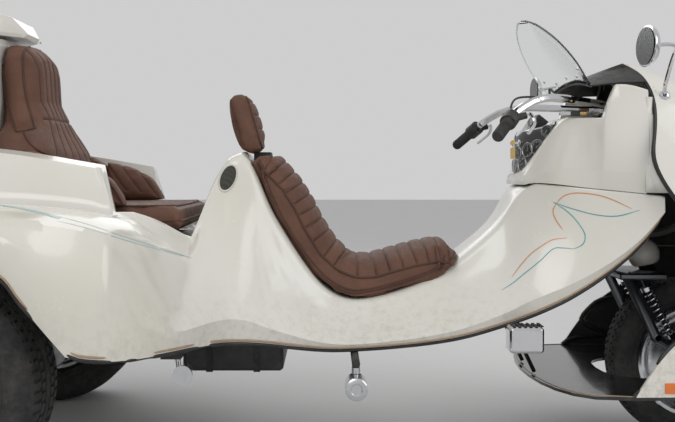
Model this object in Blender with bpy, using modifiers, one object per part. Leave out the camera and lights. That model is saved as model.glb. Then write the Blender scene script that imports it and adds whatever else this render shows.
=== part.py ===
"""Motor trike with a one-piece fibreglass body, two leather seats and a single steered front wheel.

Metres. +X is the front, +Y is the rider's left, +Z is up.
The origin is on the ground, midway along the trike.
"""

from math import cos, pi, radians, sin

import bmesh
import bpy
import numpy as np
from mathutils import Matrix, Vector
from mathutils.bvhtree import BVHTree

# Driving dimensions

GAP = 0.0003
MERGE = 0.0001
WHEELBASE_REAR_X = -1.14
FRONT_AXLE_X = 1.29
REAR_TYRE_R = 0.34
REAR_TYRE_WIDTH = 0.26
REAR_TRACK_HALF = 0.665
REAR_RIM_R = 0.205
FRONT_TYRE_R = 0.29
FRONT_TYRE_WIDTH = 0.14
FRONT_RIM_R = 0.2
BODY_WALL = 0.012
NOSE_WALL = 0.010
REAR_END_X = -1.72
STEER_HEAD = (1.13, 0.65)
STEER_RAKE = radians(15.0)
STEM_HOLE_R = 0.045
STEM_NOTCH_Z = (0.77, 1.0)
WHEEL_SIDES = 28

# Colours

CREAM = (0.74, 0.735, 0.70)
LEATHER = (0.14, 0.065, 0.045)
CHROME = (0.75, 0.75, 0.77)
BLACK = (0.015, 0.015, 0.016)
RUBBER = (0.025, 0.025, 0.027)
STEEL = (0.30, 0.30, 0.31)
ALLOY = (0.55, 0.56, 0.58)
RED = (0.55, 0.02, 0.02)
CLEAR = (0.85, 0.9, 0.9)

COLLECTION = "Motor trike"
CUTTERS = "Cutters"


# Scene and materials


def clear_scene():
    for thing in list(bpy.data.objects):
        bpy.data.objects.remove(thing, do_unlink=True)


def collection(name):
    group = bpy.data.collections.get(name)
    if group is None:
        group = bpy.data.collections.new(name)
        bpy.context.scene.collection.children.link(group)
    return group


def material(name, colour, roughness, metallic=0.0):
    finish = bpy.data.materials.get(name)
    if finish is None:
        finish = bpy.data.materials.new(name)
        finish.use_nodes = True
        shader = finish.node_tree.nodes["Principled BSDF"]
        shader.inputs["Base Color"].default_value = (*colour, 1.0)
        shader.inputs["Roughness"].default_value = roughness
        shader.inputs["Metallic"].default_value = metallic
    return finish


def add_object(name, data, finish=None, parent=None, cutter=False):
    thing = bpy.data.objects.new(name, data)
    collection(CUTTERS if cutter else COLLECTION).objects.link(thing)
    if finish is not None:
        data.materials.append(finish)
    if parent is not None:
        thing.parent = parent
        thing.matrix_parent_inverse = parent.matrix_world.inverted()
    if cutter:
        thing.hide_render = True
        thing.display_type = "WIRE"
    return thing


def add_empty(name, place, turn=None):
    empty = bpy.data.objects.new(name, None)
    collection(COLLECTION).objects.link(empty)
    empty.location = place
    if turn is not None:
        empty.rotation_euler = turn
    bpy.context.view_layer.update()
    return empty


def finish_mesh(name, bm, finish, parent=None, smooth=True, cutter=False, turn_out=True):
    if turn_out:
        bmesh.ops.recalc_face_normals(bm, faces=bm.faces)
    mesh = bpy.data.meshes.new(name)
    bm.to_mesh(mesh)
    bm.free()
    if smooth:
        mesh.shade_smooth()
        mesh.set_sharp_from_angle(angle=radians(35))
    return add_object(name, mesh, finish, parent, cutter)


# Shape helpers


def smooth_curve(stations):
    """A monotone cubic through (x, value) stations, as a function of x."""
    xs = np.array([s[0] for s in stations], dtype=float)
    ys = np.array([s[1] for s in stations], dtype=float)
    steps = np.diff(xs)
    slopes = np.diff(ys) / steps
    tangents = np.zeros_like(ys)
    for i in range(1, len(xs) - 1):
        if slopes[i - 1] * slopes[i] > 0:
            w1 = 2 * steps[i] + steps[i - 1]
            w2 = steps[i] + 2 * steps[i - 1]
            tangents[i] = (w1 + w2) / (w1 / slopes[i - 1] + w2 / slopes[i])
    tangents[0] = slopes[0]
    tangents[-1] = slopes[-1]

    def value(x):
        x = min(max(x, xs[0]), xs[-1])
        i = int(min(np.searchsorted(xs, x, side="right") - 1, len(xs) - 2))
        i = max(i, 0)
        t = (x - xs[i]) / steps[i]
        return float(
            (1 + 2 * t) * (1 - t) ** 2 * ys[i]
            + t * (1 - t) ** 2 * steps[i] * tangents[i]
            + t * t * (3 - 2 * t) * ys[i + 1]
            + t * t * (t - 1) * steps[i] * tangents[i + 1]
        )

    return value


def loft(rings, closed_ring=True, cap_start=True, cap_end=True):
    """A skin over rings of equal point counts."""
    bm = bmesh.new()
    rows = [[bm.verts.new(p) for p in ring] for ring in rings]
    count = len(rings[0])
    last = count if closed_ring else count - 1
    for a, b in zip(rows, rows[1:]):
        for i in range(last):
            j = (i + 1) % count
            bm.faces.new((a[i], a[j], b[j], b[i]))
    if cap_start:
        bm.faces.new(list(reversed(rows[0])))
    if cap_end:
        bm.faces.new(rows[-1])
    return bm


def superellipse(half_a, half_b, count, power=2.5, start=0.0):
    points = []
    for i in range(count):
        angle = start + 2 * pi * i / count
        c, s = cos(angle), sin(angle)
        points.append(
            (
                half_a * abs(c) ** (2 / power) * (1 if c >= 0 else -1),
                half_b * abs(s) ** (2 / power) * (1 if s >= 0 else -1),
            )
        )
    return points


def box(name, low, high, finish, bevel=0.0, parent=None, cutter=False, segments=2):
    bm = bmesh.new()
    bmesh.ops.create_cube(bm, size=1.0)
    size = [high[i] - low[i] for i in range(3)]
    centre = [(high[i] + low[i]) / 2 for i in range(3)]
    bmesh.ops.scale(bm, vec=size, verts=bm.verts)
    bmesh.ops.translate(bm, vec=centre, verts=bm.verts)
    if bevel:
        bmesh.ops.bevel(
            bm, geom=list(bm.edges), offset=bevel, segments=segments, profile=0.5, affect="EDGES"
        )
    return finish_mesh(name, bm, finish, parent, cutter=cutter)


def cylinder(name, start, end, radius, finish, sides=24, parent=None, cutter=False, end_radius=None):
    start, end = Vector(start), Vector(end)
    along = end - start
    bm = bmesh.new()
    bmesh.ops.create_cone(
        bm,
        cap_ends=True,
        segments=sides,
        radius1=radius,
        radius2=radius if end_radius is None else end_radius,
        depth=along.length,
    )
    turn = along.to_track_quat("Z", "Y").to_matrix().to_4x4()
    bmesh.ops.transform(bm, matrix=Matrix.Translation((start + end) / 2) @ turn, verts=bm.verts)
    return finish_mesh(name, bm, finish, parent, cutter=cutter)


def tube_mesh(name, points, radius, finish, parent=None, sides_level=2, smooth_path=True, steps=4):
    """A solid round bar along points, made a closed mesh with its caps welded."""
    path = spline_points(points, steps) if smooth_path else [Vector(p) for p in points]
    curve = bpy.data.curves.new(name, "CURVE")
    curve.dimensions = "3D"
    spline = curve.splines.new("POLY")
    spline.points.add(len(path) - 1)
    for target, point in zip(spline.points, path):
        target.co = (*point, 1.0)
    curve.bevel_depth = radius
    curve.bevel_resolution = sides_level
    curve.use_fill_caps = True
    thing = bpy.data.objects.new(name + " curve", curve)
    collection(COLLECTION).objects.link(thing)
    bpy.context.view_layer.update()
    mesh = bpy.data.meshes.new_from_object(thing.evaluated_get(bpy.context.evaluated_depsgraph_get()))
    mesh.name = name
    bpy.data.objects.remove(thing, do_unlink=True)
    bm = bmesh.new()
    bm.from_mesh(mesh)
    bmesh.ops.remove_doubles(bm, verts=bm.verts, dist=MERGE / 2)
    bmesh.ops.recalc_face_normals(bm, faces=bm.faces)
    bm.to_mesh(mesh)
    bm.free()
    mesh.materials.clear()
    mesh.shade_smooth()
    mesh.set_sharp_from_angle(angle=radians(40))
    return add_object(name, mesh, finish, parent)


def spline_points(points, steps):
    """A Catmull-Rom curve through the points."""
    pts = [Vector(p) for p in points]
    if len(pts) < 3:
        return pts
    ends = [pts[0] * 2 - pts[1]] + pts + [pts[-1] * 2 - pts[-2]]
    path = []
    for i in range(1, len(ends) - 2):
        a, b, c, d = ends[i - 1 : i + 3]
        for k in range(steps):
            t = k / steps
            path.append(
                0.5 * ((2 * b) + (c - a) * t + (2 * a - 5 * b + 4 * c - d) * t**2
                       + (3 * b - a - 3 * c + d) * t**3)
            )
    path.append(pts[-1])
    return path


def boolean(target, tool, operation="DIFFERENCE"):
    step = target.modifiers.new(operation.title(), "BOOLEAN")
    step.operation = operation
    step.object = tool
    return step


def join(target, tools):
    """The tools become part of the target by exact union."""
    for tool in tools:
        boolean(target, tool, "UNION")
    freeze(target)
    for tool in tools:
        bpy.data.objects.remove(tool, do_unlink=True)
    return target


def freeze(thing):
    """The evaluated mesh replaces the modifiers."""
    bpy.context.view_layer.update()
    mesh = bpy.data.meshes.new_from_object(thing.evaluated_get(bpy.context.evaluated_depsgraph_get()))
    finishes = [slot.material for slot in thing.material_slots][:1]
    thing.modifiers.clear()
    thing.data = mesh
    mesh.materials.clear()
    for finish in finishes:
        mesh.materials.append(finish)


def solidify(thing, thickness, offset=-1.0):
    step = thing.modifiers.new("Wall", "SOLIDIFY")
    step.thickness = thickness
    step.offset = offset
    step.use_even_offset = True
    return step


# Body shell: half-sections across the trike, each from the hem up over the flank to the centre line

HEM_Y = smooth_curve(
    [(-1.72, 0.78), (-1.55, 0.855), (-0.72, 0.855), (-0.6, 0.84), (-0.5, 0.74), (-0.42, 0.58)]
    + [(-0.33, 0.43), (-0.2, 0.355), (0.0, 0.32), (0.4, 0.295), (0.7, 0.285), (0.9, 0.295), (1.1, 0.325)]
)
HEM_Z = smooth_curve(
    [(-1.72, 0.43), (-1.6, 0.45), (-1.5, 0.53), (-1.42, 0.64), (-1.3, 0.735), (-1.14, 0.775), (-0.98, 0.75)]
    + [(-0.868, 0.664), (-0.754, 0.516), (-0.69, 0.455), (-0.6, 0.443), (-0.45, 0.43), (-0.3, 0.415)]
    + [(-0.07, 0.383), (0.0, 0.375), (0.18, 0.382), (0.4, 0.405), (0.58, 0.453), (0.675, 0.486)]
    + [(0.77, 0.525), (0.86, 0.583), (0.955, 0.654), (1.0, 0.7), (1.05, 0.762), (1.1, 0.84)]
)
CROWN_Z = smooth_curve([(-1.72, 0.74), (-1.5, 0.82), (-1.14, 0.87), (-0.9, 0.865), (-0.7, 0.845),
                        (-0.45, 0.76)])
BOX_TOP_Z = smooth_curve([(-1.72, 0.98), (-1.4, 1.05), (-1.0, 1.024), (-0.705, 0.975)])
BULGE_Y = smooth_curve(
    [(-0.6, 0.87), (-0.42, 0.6), (-0.33, 0.45), (-0.2, 0.37), (0.0, 0.335), (0.4, 0.31), (0.7, 0.3),
     (1.1, 0.335)]
)
TOP_Y = smooth_curve(
    [(-0.6, 0.3), (-0.42, 0.25), (-0.32, 0.215), (0.0, 0.205), (0.3, 0.19), (0.46, 0.15), (0.6, 0.135)]
    + [(0.67, 0.16), (0.76, 0.235), (0.9, 0.29), (1.1, 0.335)]
)
TOP_Z = smooth_curve(
    [(-0.6, 0.73), (-0.445, 0.73), (-0.425, 0.81), (-0.4, 0.893), (-0.379, 0.943), (-0.35, 0.99),
     (-0.32, 1.018)]
    + [(-0.29, 1.025), (-0.262, 1.0), (-0.22, 0.9), (-0.188, 0.822), (-0.128, 0.725), (-0.057, 0.614)]
    + [(0.02, 0.54), (0.077, 0.52), (0.134, 0.527), (0.28, 0.57), (0.41, 0.631), (0.46, 0.672),
       (0.532, 0.728)]
    + [(0.587, 0.776), (0.625, 0.83), (0.655, 0.9), (0.69, 0.917), (0.863, 0.9), (1.1, 0.876)]
)
DECK_Z = 0.73
HOUSING_START_X = 0.668
SEAM_ROUND = 0.008
BOX_FACE_Y = 0.467
TOWER_FRONT_X = -1.12
TOWER_TOP_Z = 1.42
TOWER_HALF = 0.27
BOX_FRONT_X = -0.70
BLEND_START = -0.60
BLEND_END = -0.36


def rear_half_section(x):
    hem = (HEM_Y(x), HEM_Z(x))
    crown = CROWN_Z(x)
    rise = crown - hem[1]
    side = HEM_Y(x) + 0.015
    points = [hem, (side, hem[1] + 0.3 * rise), (side - 0.004, hem[1] + 0.62 * rise)]
    points += [(side - 0.05, crown - 0.045), (0.68, crown), (0.49, crown - 0.012)]
    top = BOX_TOP_Z(x)
    if x <= TOWER_FRONT_X:
        points += [(BOX_FACE_Y, top - 0.02), (0.37, top + 0.02), (TOWER_HALF + 0.03, top + 0.1)]
        points += [(TOWER_HALF, TOWER_TOP_Z - 0.02), (0.0, TOWER_TOP_Z)]
    elif x <= BOX_FRONT_X:
        points += [(BOX_FACE_Y, top - 0.012), (0.405, top), (0.385, DECK_Z + 0.02), (0.37, DECK_Z),
                   (0.0, DECK_Z)]
    else:
        points += [(0.46, DECK_Z + 0.1), (0.42, DECK_Z + 0.07), (0.38, DECK_Z + 0.02), (0.365, DECK_Z),
                   (0.0, DECK_Z)]
    return points


def front_half_section(x):
    low, top = HEM_Z(x), TOP_Z(x)
    height = top - low
    bulge, shoulder = BULGE_Y(x), min(TOP_Y(x), BULGE_Y(x))
    round_off = min(SEAM_ROUND if x > HOUSING_START_X - 0.01 else 0.045, 0.22 * height)
    points = [(min(HEM_Y(x), bulge - 0.008), low), (bulge, low + 0.13 * height)]
    for share in (0.25, 0.5, 0.75, 1.0):
        z = low + 0.13 * height + share * (top - round_off - low - 0.13 * height)
        points.append((bulge + (shoulder - bulge) * (1 - (1 - share) ** 1.7), z))
    points += [(shoulder - 0.12 * round_off, top - 0.6 * round_off),
               (shoulder - 0.4 * round_off, top - 0.25 * round_off)]
    points += [(shoulder - round_off, top), (0.5 * (shoulder - round_off), top), (0.0, top)]
    return points


def half_section(x):
    if x <= BLEND_START:
        return rear_half_section(x)
    if x >= BLEND_END:
        return front_half_section(x)
    share = (x - BLEND_START) / (BLEND_END - BLEND_START)
    share = share * share * (3 - 2 * share)
    return [
        (a[0] + (b[0] - a[0]) * share, a[1] + (b[1] - a[1]) * share)
        for a, b in zip(rear_half_section(x), front_half_section(x))
    ]


def full_ring(x, half, lean=0.0):
    left = [(x, y, z) for y, z in half]
    right = [(x, -y, z) for y, z in reversed(half[:-1])]
    return left + right


REAR_SPAN = -1.28 - REAR_END_X
REAR_SHARES = (0.0, 0.1364, 0.3409, 0.5455, 0.7273)
BODY_STATIONS = (
    [REAR_END_X + REAR_SPAN * share for share in REAR_SHARES]
    + [-1.28, -1.14, TOWER_FRONT_X, -1.085, -0.98, -0.87, -0.79,
     BOX_FRONT_X]
    + [-0.655, -0.6, -0.54, -0.49, -0.445, -0.42, -0.39, -0.36, -0.33, -0.29, -0.255, -0.22, -0.188, -0.128]
    + [-0.057, 0.02, 0.1, 0.2, 0.3, 0.4, 0.47, 0.55, 0.61, 0.65, 0.7, 0.8, 0.9, 0.98, 1.04, 1.085]
)


def make_body():
    rings = [full_ring(x, half_section(x)) for x in BODY_STATIONS]
    bm = loft(rings, closed_ring=False, cap_start=True, cap_end=False)
    bmesh.ops.recalc_face_normals(bm, faces=bm.faces)
    up = max(bm.faces, key=lambda f: f.calc_center_median().z)
    if up.normal.z < 0:
        bmesh.ops.reverse_faces(bm, faces=bm.faces)
    shell = finish_mesh("body_shell", bm, material("Cream gelcoat", CREAM, 0.18), turn_out=False)
    wall = solidify(shell, BODY_WALL)
    wall.use_even_offset = False
    notch = (steer_point(STEM_NOTCH_Z[0]), steer_point(STEM_NOTCH_Z[1]))
    slot = cylinder("stem_notch_cutter", *notch, STEM_HOLE_R, None, cutter=True)
    boolean(shell, slot)
    return shell


def body_cutter(name, low_x, high_x):
    """A stretch of the body's outer form as one solid, larger by the gap, which cuts what sits on it."""
    rings = [full_ring(x, half_section(x)) for x in BODY_STATIONS if low_x <= x <= high_x]
    bm = loft(rings, closed_ring=True)
    bmesh.ops.recalc_face_normals(bm, faces=bm.faces)
    bm.normal_update()
    moves = [(v, v.normal.copy()) for v in bm.verts]
    for vert, normal in moves:
        vert.co += normal * GAP * 2
    return finish_mesh(name, bm, material("Cutter", BLACK, 0.5), cutter=True)


def wall_cutter(name, shell, wall, slack=2 * GAP):
    """A copy of a shell's wall, thicker by the gap on both sides."""
    mesh = shell.data.copy()
    thing = add_object(name, mesh, cutter=True)
    thick = wall + 2 * slack
    step = solidify(thing, thick, offset=2 * slack / thick - 1)
    step.use_even_offset = False
    return thing


# Dash housing: rises from the seam on the neck, with an ear panel each side of the handlebar

HOUSING_SEAM_GAP = 0.0001
HOUSING_TOP_Y = smooth_curve([(0.66, 0.1), (0.7, 0.15), (0.79, 0.195), (0.86, 0.25), (0.9, 0.325),
                              (1.1, 0.338)])
HOUSING_TOP_Z = smooth_curve([(0.66, 0.935), (0.79, 1.128), (0.81, 1.14), (0.89, 1.13), (1.1, 1.125)])
EAR_START_X = 0.893
EAR_TOP_Z = smooth_curve([(0.893, 1.135), (0.929, 1.236), (0.95, 1.238), (1.05, 1.212), (1.1, 1.2)])
EAR_THICK = 0.012
HOUSING_WALL = 0.008


def housing_half_section(x):
    seam = (TOP_Y(x) - 0.002, TOP_Z(x) + HOUSING_SEAM_GAP)
    top_y, top_z = HOUSING_TOP_Y(x), HOUSING_TOP_Z(x)
    rise = top_z - seam[1]
    points = [seam]
    for share in (0.25, 0.55, 0.85):
        bow = 0.018 * sin(pi * share)
        points.append((seam[0] + (top_y - seam[0]) * share + bow, seam[1] + rise * share))
    if x >= EAR_START_X:
        ear = EAR_TOP_Z(x)
        points += [(top_y, ear - 0.006), (top_y - 0.004, ear), (top_y - EAR_THICK - 0.02, ear - 0.004)]
        points += [(top_y - EAR_THICK - 0.024, top_z + 0.004), (top_y - EAR_THICK - 0.03, top_z),
                   (0.0, top_z)]
    else:
        points += [(top_y, top_z - 0.008), (top_y - 0.004, top_z - 0.003), (top_y - 0.012, top_z)]
        points += [(top_y - 0.02, top_z), (top_y - 0.035, top_z), (0.0, top_z)]
    return points


def make_housing():
    stations = [0.668, 0.685, 0.71, 0.74, 0.77, 0.79, 0.805, 0.84, 0.87, 0.892, 0.894, 0.91, 0.929,
                0.96, 1.0, 1.03]
    rings = [full_ring(x, housing_half_section(x)) for x in stations]
    bm = loft(rings, closed_ring=False, cap_start=True, cap_end=False)
    bmesh.ops.recalc_face_normals(bm, faces=bm.faces)
    up = max(bm.faces, key=lambda f: f.calc_center_median().z)
    if up.normal.z < 0:
        bmesh.ops.reverse_faces(bm, faces=bm.faces)
    housing = finish_mesh("dash_housing", bm, material("Cream gelcoat", CREAM, 0.18), turn_out=False)
    wall = solidify(housing, HOUSING_WALL)
    wall.use_even_offset = False
    slot = cylinder("stem_hole_cutter", steer_point(1.0), steer_point(1.35), 0.075, None, cutter=True)
    boolean(housing, slot)
    return housing


# Steering line


def steer_x(z):
    return STEER_HEAD[0] - (z - STEER_HEAD[1]) * sin(STEER_RAKE) / cos(STEER_RAKE)


def steer_point(z):
    return Vector((steer_x(z), 0.0, z))


# Nose: an upper and a lower shell, whose rear edges make an open side window at the front wheel

NOSE_BOTTOM_Z = 0.257
NOSE_HALF = smooth_curve([(0.25, 0.46), (0.45, 0.455), (0.66, 0.42), (0.9, 0.39), (1.1, 0.36),
                          (1.22, 0.315), (1.33, 0.14)])
NOSE_REAR_X = smooth_curve(
    [(0.25, 0.946), (0.343, 1.008), (0.42, 1.07), (0.503, 1.187), (0.6, 1.275), (0.66, 1.29), (0.75, 1.2)]
    + [(0.86, 1.108), (0.908, 1.076), (0.963, 1.044), (1.0, 1.034), (1.113, 1.054), (1.18, 1.056),
       (1.24, 1.048)]
    + [(1.29, 1.04), (1.33, 1.0)]
)
NOSE_FRONT_X = smooth_curve(
    [(0.25, 1.7), (0.33, 1.74), (0.45, 1.75), (0.6, 1.715), (0.8, 1.65), (1.0, 1.5), (1.15, 1.34),
     (1.27, 1.17)]
    + [(1.33, 1.03)]
)


def nose_ring(z):
    """One level of the nose, from the left rear edge round the tip to the right rear edge."""
    half, rear, front = NOSE_HALF(z), NOSE_REAR_X(z), NOSE_FRONT_X(z)
    count = 18
    points = []
    for i in range(count + 1):
        angle = pi / 2 - pi * i / count
        c, s = cos(angle), sin(angle)
        x = rear + (front - rear) * abs(c) ** 0.75
        y = half * abs(s) ** 0.8 * (1 if s >= 0 else -1)
        points.append((x, y, z))
    return points


def nose_shell(name, levels, cap_top):
    rings = [nose_ring(z) for z in levels]
    bm = loft(rings, closed_ring=False, cap_start=False, cap_end=cap_top)
    bmesh.ops.recalc_face_normals(bm, faces=bm.faces)
    ahead = max(bm.faces, key=lambda f: f.calc_center_median().x)
    if ahead.normal.x < 0:
        bmesh.ops.reverse_faces(bm, faces=bm.faces)
    shell = finish_mesh(name, bm, material("Cream gelcoat", CREAM, 0.18), turn_out=False)
    wall = solidify(shell, NOSE_WALL)
    wall.use_even_offset = False
    return shell


def make_nose():
    upper_levels = [0.6611, 0.72, 0.78, 0.86, 0.93, 1.0, 1.07, 1.14, 1.2, 1.25, 1.285, 1.31, 1.325]
    lower_levels = [0.257, 0.29, 0.343, 0.4, 0.45, 0.503, 0.56, 0.61, 0.659]
    upper = nose_shell("nose_upper", upper_levels, True)
    nose_shell("nose_lower", lower_levels, False)
    return upper


# Helpers for pieces drawn as an outline, a turned profile or an edge


def mirror_y(points):
    return [(x, -y, z) for x, y, z in points]


def prism(name, outline, y_low, y_high, finish, bevel=0.0, parent=None, cutter=False, segments=2):
    """A side outline of (x, z) points, extruded across the trike."""
    bm = bmesh.new()
    face = bm.faces.new([bm.verts.new((x, y_low, z)) for x, z in outline])
    made = bmesh.ops.extrude_face_region(bm, geom=[face])
    moved = [v for v in made["geom"] if isinstance(v, bmesh.types.BMVert)]
    bmesh.ops.translate(bm, vec=(0, y_high - y_low, 0), verts=moved)
    bmesh.ops.recalc_face_normals(bm, faces=bm.faces)
    if bevel:
        rims = [e for e in bm.edges if abs(e.verts[0].co.y - e.verts[1].co.y) < MERGE]
        bmesh.ops.bevel(bm, geom=rims, offset=bevel, segments=segments, profile=0.5, affect="EDGES")
    return finish_mesh(name, bm, finish, parent, cutter=cutter)


def plate(name, outline, z_low, z_high, finish, cutter=False):
    """A plan outline of (x, y) points, extruded upwards."""
    bm = bmesh.new()
    face = bm.faces.new([bm.verts.new((x, y, z_low)) for x, y in outline])
    made = bmesh.ops.extrude_face_region(bm, geom=[face])
    moved = [v for v in made["geom"] if isinstance(v, bmesh.types.BMVert)]
    bmesh.ops.translate(bm, vec=(0, 0, z_high - z_low), verts=moved)
    return finish_mesh(name, bm, finish, cutter=cutter)


def turned(name, profile, centre, sides, finish, parent=None, closed=False):
    """A profile of (radius, offset across) points, turned about a crosswise axis through the centre."""
    bm = bmesh.new()
    centre = Vector(centre)
    verts = [bm.verts.new((centre.x + r, centre.y + offset, centre.z)) for r, offset in profile]
    pairs = list(zip(verts, verts[1:]))
    if closed:
        pairs.append((verts[-1], verts[0]))
    edges = [bm.edges.new(pair) for pair in pairs]
    bmesh.ops.spin(
        bm, geom=verts + edges, cent=centre, axis=(0, 1, 0), angle=2 * pi, steps=sides, use_merge=True
    )
    bmesh.ops.remove_doubles(bm, verts=bm.verts, dist=MERGE / 2)
    return finish_mesh(name, bm, finish, parent)


# Front end pieces

TRAY_THICK = 0.01
TRAY_TIP_X = 0.686
TRAY_CORNER = (0.946, 0.459)
WHEEL_HOLE = (0.955, 1.625, 0.205)
SCREEN_BASE = (0.876, 1.256)
SCREEN_TOP = (0.72, 1.488)
SCREEN_THICK = 0.004
COWL_REAR_X = 0.855
COWL_WALL = 0.005
COWL_CUT_DEPTH = 0.03
COWL_EDGE_GAP = 0.006
COWL_HALF = 0.272


def make_tray():
    ring = [(x, y) for x, y, z in nose_ring(0.25)]
    rear = []
    for i in range(1, 12):
        angle = pi * (i / 12 - 0.5)
        reach = cos(angle) ** 0.6
        rear.append((TRAY_CORNER[0] - (TRAY_CORNER[0] - TRAY_TIP_X) * reach, 0.459 * sin(angle)))
    tray = plate("nose_floor", ring + rear, NOSE_BOTTOM_Z - TRAY_THICK, NOSE_BOTTOM_Z - GAP,
                 material("Black gloss", BLACK, 0.2))
    low_x, high_x, half = WHEEL_HOLE
    outline = []
    for x, y in superellipse((high_x - low_x) / 2, half, 28, 3.0):
        outline.append(((low_x + high_x) / 2 + x, y))
    hole = plate("wheel_hole_cutter", outline, 0.2, 0.3, None, cutter=True)
    boolean(tray, hole)
    return tray


def cowl_arch(x, half, top, side):
    points = []
    for i in range(9):
        share = i / 4 - 1
        points.append((x, half * share, top - (top - side) * abs(share) ** 2.2))
    return points


def make_cowl():
    front = []
    for z in (1.25, 1.285, 1.31, 1.323):
        front.append((NOSE_REAR_X(z) - COWL_EDGE_GAP, NOSE_HALF(z) - 0.005, z))
    crown = (NOSE_REAR_X(1.325) - COWL_EDGE_GAP, 0.0, 1.324)
    front = front + [crown] + [(x, -y, z) for x, y, z in reversed(front)]
    rear = cowl_arch(COWL_REAR_X, -COWL_HALF, 1.262, 1.238)
    middle = []
    for a, b in zip(rear, front):
        middle.append(((a[0] + b[0]) / 2, (a[1] + b[1]) / 2, (a[2] + b[2]) / 2 + 0.004))
    bm = loft([rear, middle, front], closed_ring=False, cap_start=False, cap_end=False)
    bmesh.ops.recalc_face_normals(bm, faces=bm.faces)
    if sum(f.normal.z for f in bm.faces) < 0:
        bmesh.ops.reverse_faces(bm, faces=bm.faces)
    cowl = finish_mesh("screen_cowl", bm, material("Black matt", BLACK, 0.55), turn_out=False)
    copy = wall_cutter("cowl_wall_cutter", cowl, COWL_CUT_DEPTH, 4 * GAP)
    solidify(cowl, COWL_WALL)
    return copy


def make_screen(cowl_cutter):
    half = smooth_curve([(0.0, 0.262), (0.3, 0.295), (0.6, 0.262), (0.85, 0.17), (0.96, 0.085),
                         (1.0, 0.03)])
    rows = []
    for v in (0.0, 0.15, 0.3, 0.45, 0.6, 0.75, 0.87, 0.95, 1.0):
        row = []
        for i in range(13):
            u = i / 6 - 1
            x = SCREEN_BASE[0] + (SCREEN_TOP[0] - SCREEN_BASE[0]) * v - 0.01 * u * u * (1 + 2.5 * v)
            base = SCREEN_BASE[1] - 0.024 * abs(u) ** 2.2 * (1 - v)
            z = base + (SCREEN_TOP[1] - SCREEN_BASE[1]) * v
            row.append((x, half(v) * u, z))
        rows.append(row)
    bm = loft(rows, closed_ring=False, cap_start=False, cap_end=False)
    bmesh.ops.recalc_face_normals(bm, faces=bm.faces)
    screen = finish_mesh("windscreen", bm, material("Clear screen", CLEAR, 0.05), turn_out=False)
    solidify(screen, SCREEN_THICK, offset=0.0)
    boolean(screen, cowl_cutter)
    return screen


HEADLAMP_R = 0.082
HEADLAMP_Y = 0.165
HEADLAMP_Z = 0.93
HEADLAMP_LONG = 0.165
HEADLAMP_PROUD = 0.027
HEADLAMP_SIGHT_X = 2.0


def skin_x(thing, y, z):
    """Where a line from ahead first meets the piece."""
    tree = BVHTree.FromObject(thing, bpy.context.evaluated_depsgraph_get())
    return tree.ray_cast(Vector((HEADLAMP_SIGHT_X, y, z)), Vector((-1, 0, 0)))[0].x


def make_headlamps(upper):
    for side, tag in ((1, "left"), (-1, "right")):
        front = skin_x(upper, side * HEADLAMP_Y, HEADLAMP_Z) + HEADLAMP_PROUD
        end = (front, side * HEADLAMP_Y, HEADLAMP_Z)
        start = (front - HEADLAMP_LONG, end[1], end[2])
        back = (start[0] - HEADLAMP_R, end[1], end[2])
        ahead = (front + HEADLAMP_R, end[1], end[2])
        hole = cylinder("lamp_hole_cutter_" + tag, back, ahead, HEADLAMP_R + GAP, None, cutter=True)
        boolean(upper, hole)
        cylinder("headlamp_" + tag, start, end, HEADLAMP_R, material("Lamp glass", CLEAR, 0.08))


MIRROR_CENTRE = (0.905, 0.712, 1.307)
MIRROR_HALF_TALL = 0.059
MIRROR_HALF_WIDE = 0.082
MIRROR_DEEP = 0.03
MIRROR_FOOT = (1.087, 0.3195, 1.2)


def make_mirrors(upper_cutter):
    for side, tag in ((1, "left"), (-1, "right")):
        x, y, z = MIRROR_CENTRE
        stages = ((0.0, 0.93), (0.08, 1.0), (0.55, 0.93), (0.85, 0.65), (1.0, 0.3))
        rings = []
        for depth, swell in stages:
            ring = superellipse(MIRROR_HALF_WIDE * swell, MIRROR_HALF_TALL * swell, 20, 2.2)
            rings.append([(x - 0.012 + MIRROR_DEEP * depth, side * y + a, z + b) for a, b in ring])
        head = finish_mesh("mirror_" + tag, loft(rings), material("Chrome", CHROME, 0.08, 1.0))
        path = [MIRROR_FOOT, (1.082, 0.345, 1.235), (1.065, 0.45, 1.3), (1.03, 0.58, 1.322),
                (0.97, 0.67, 1.318),
                (x + 0.006, y, z)]
        path = [(px, side * py, pz) for px, py, pz in path]
        arm = tube_mesh("mirror_arm", path, 0.0065, material("Chrome", CHROME, 0.08, 1.0),
                        sides_level=1, steps=3)
        join(head, [arm])
        boolean(head, upper_cutter)


# Steering group: everything that turns about the raked axis

HEAD_R = 0.057
STEM_R = 0.017
BEARING_GAP = 0.0006
FORK_Y = 0.12
FORK_TUBE_R = 0.018
FORK_TOP = (1.024, 0.604)
FORK_ELBOW = (1.131, 0.384)
FRONT_AXLE_Z = FRONT_TYRE_R
AXLE_R = 0.012
FRONT_HUB_HALF = 0.06
BAR_R = 0.014
BAR_CLAMP_Z = 1.18
GRIP_START = (0.59, 0.347, 1.13)
GRIP_END = (0.52, 0.468, 1.06)
HOUSING_SHARE = 0.3
HEAD_BOTTOM_Z = 0.628
HEAD_TOP_Z = 0.76
HEAD_TUBE_R = 0.034
YOKE = ((1.0, -0.142), (1.165, 0.142))
YOKE_Z = (0.583, 0.606)
CLAMP_HALF = (0.026, 0.06)
CLAMP_BELOW, CLAMP_ABOVE = 0.024, 0.018


def steering_frame():
    """The parent of all that steers, on the steering axis."""
    place = (*steer_point(STEER_HEAD[1]),)
    return add_empty("steering_axis", place, (0.0, -STEER_RAKE, 0.0))


def lerp(a, b, share):
    return tuple(a[i] + (b[i] - a[i]) * share for i in range(3))


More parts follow.
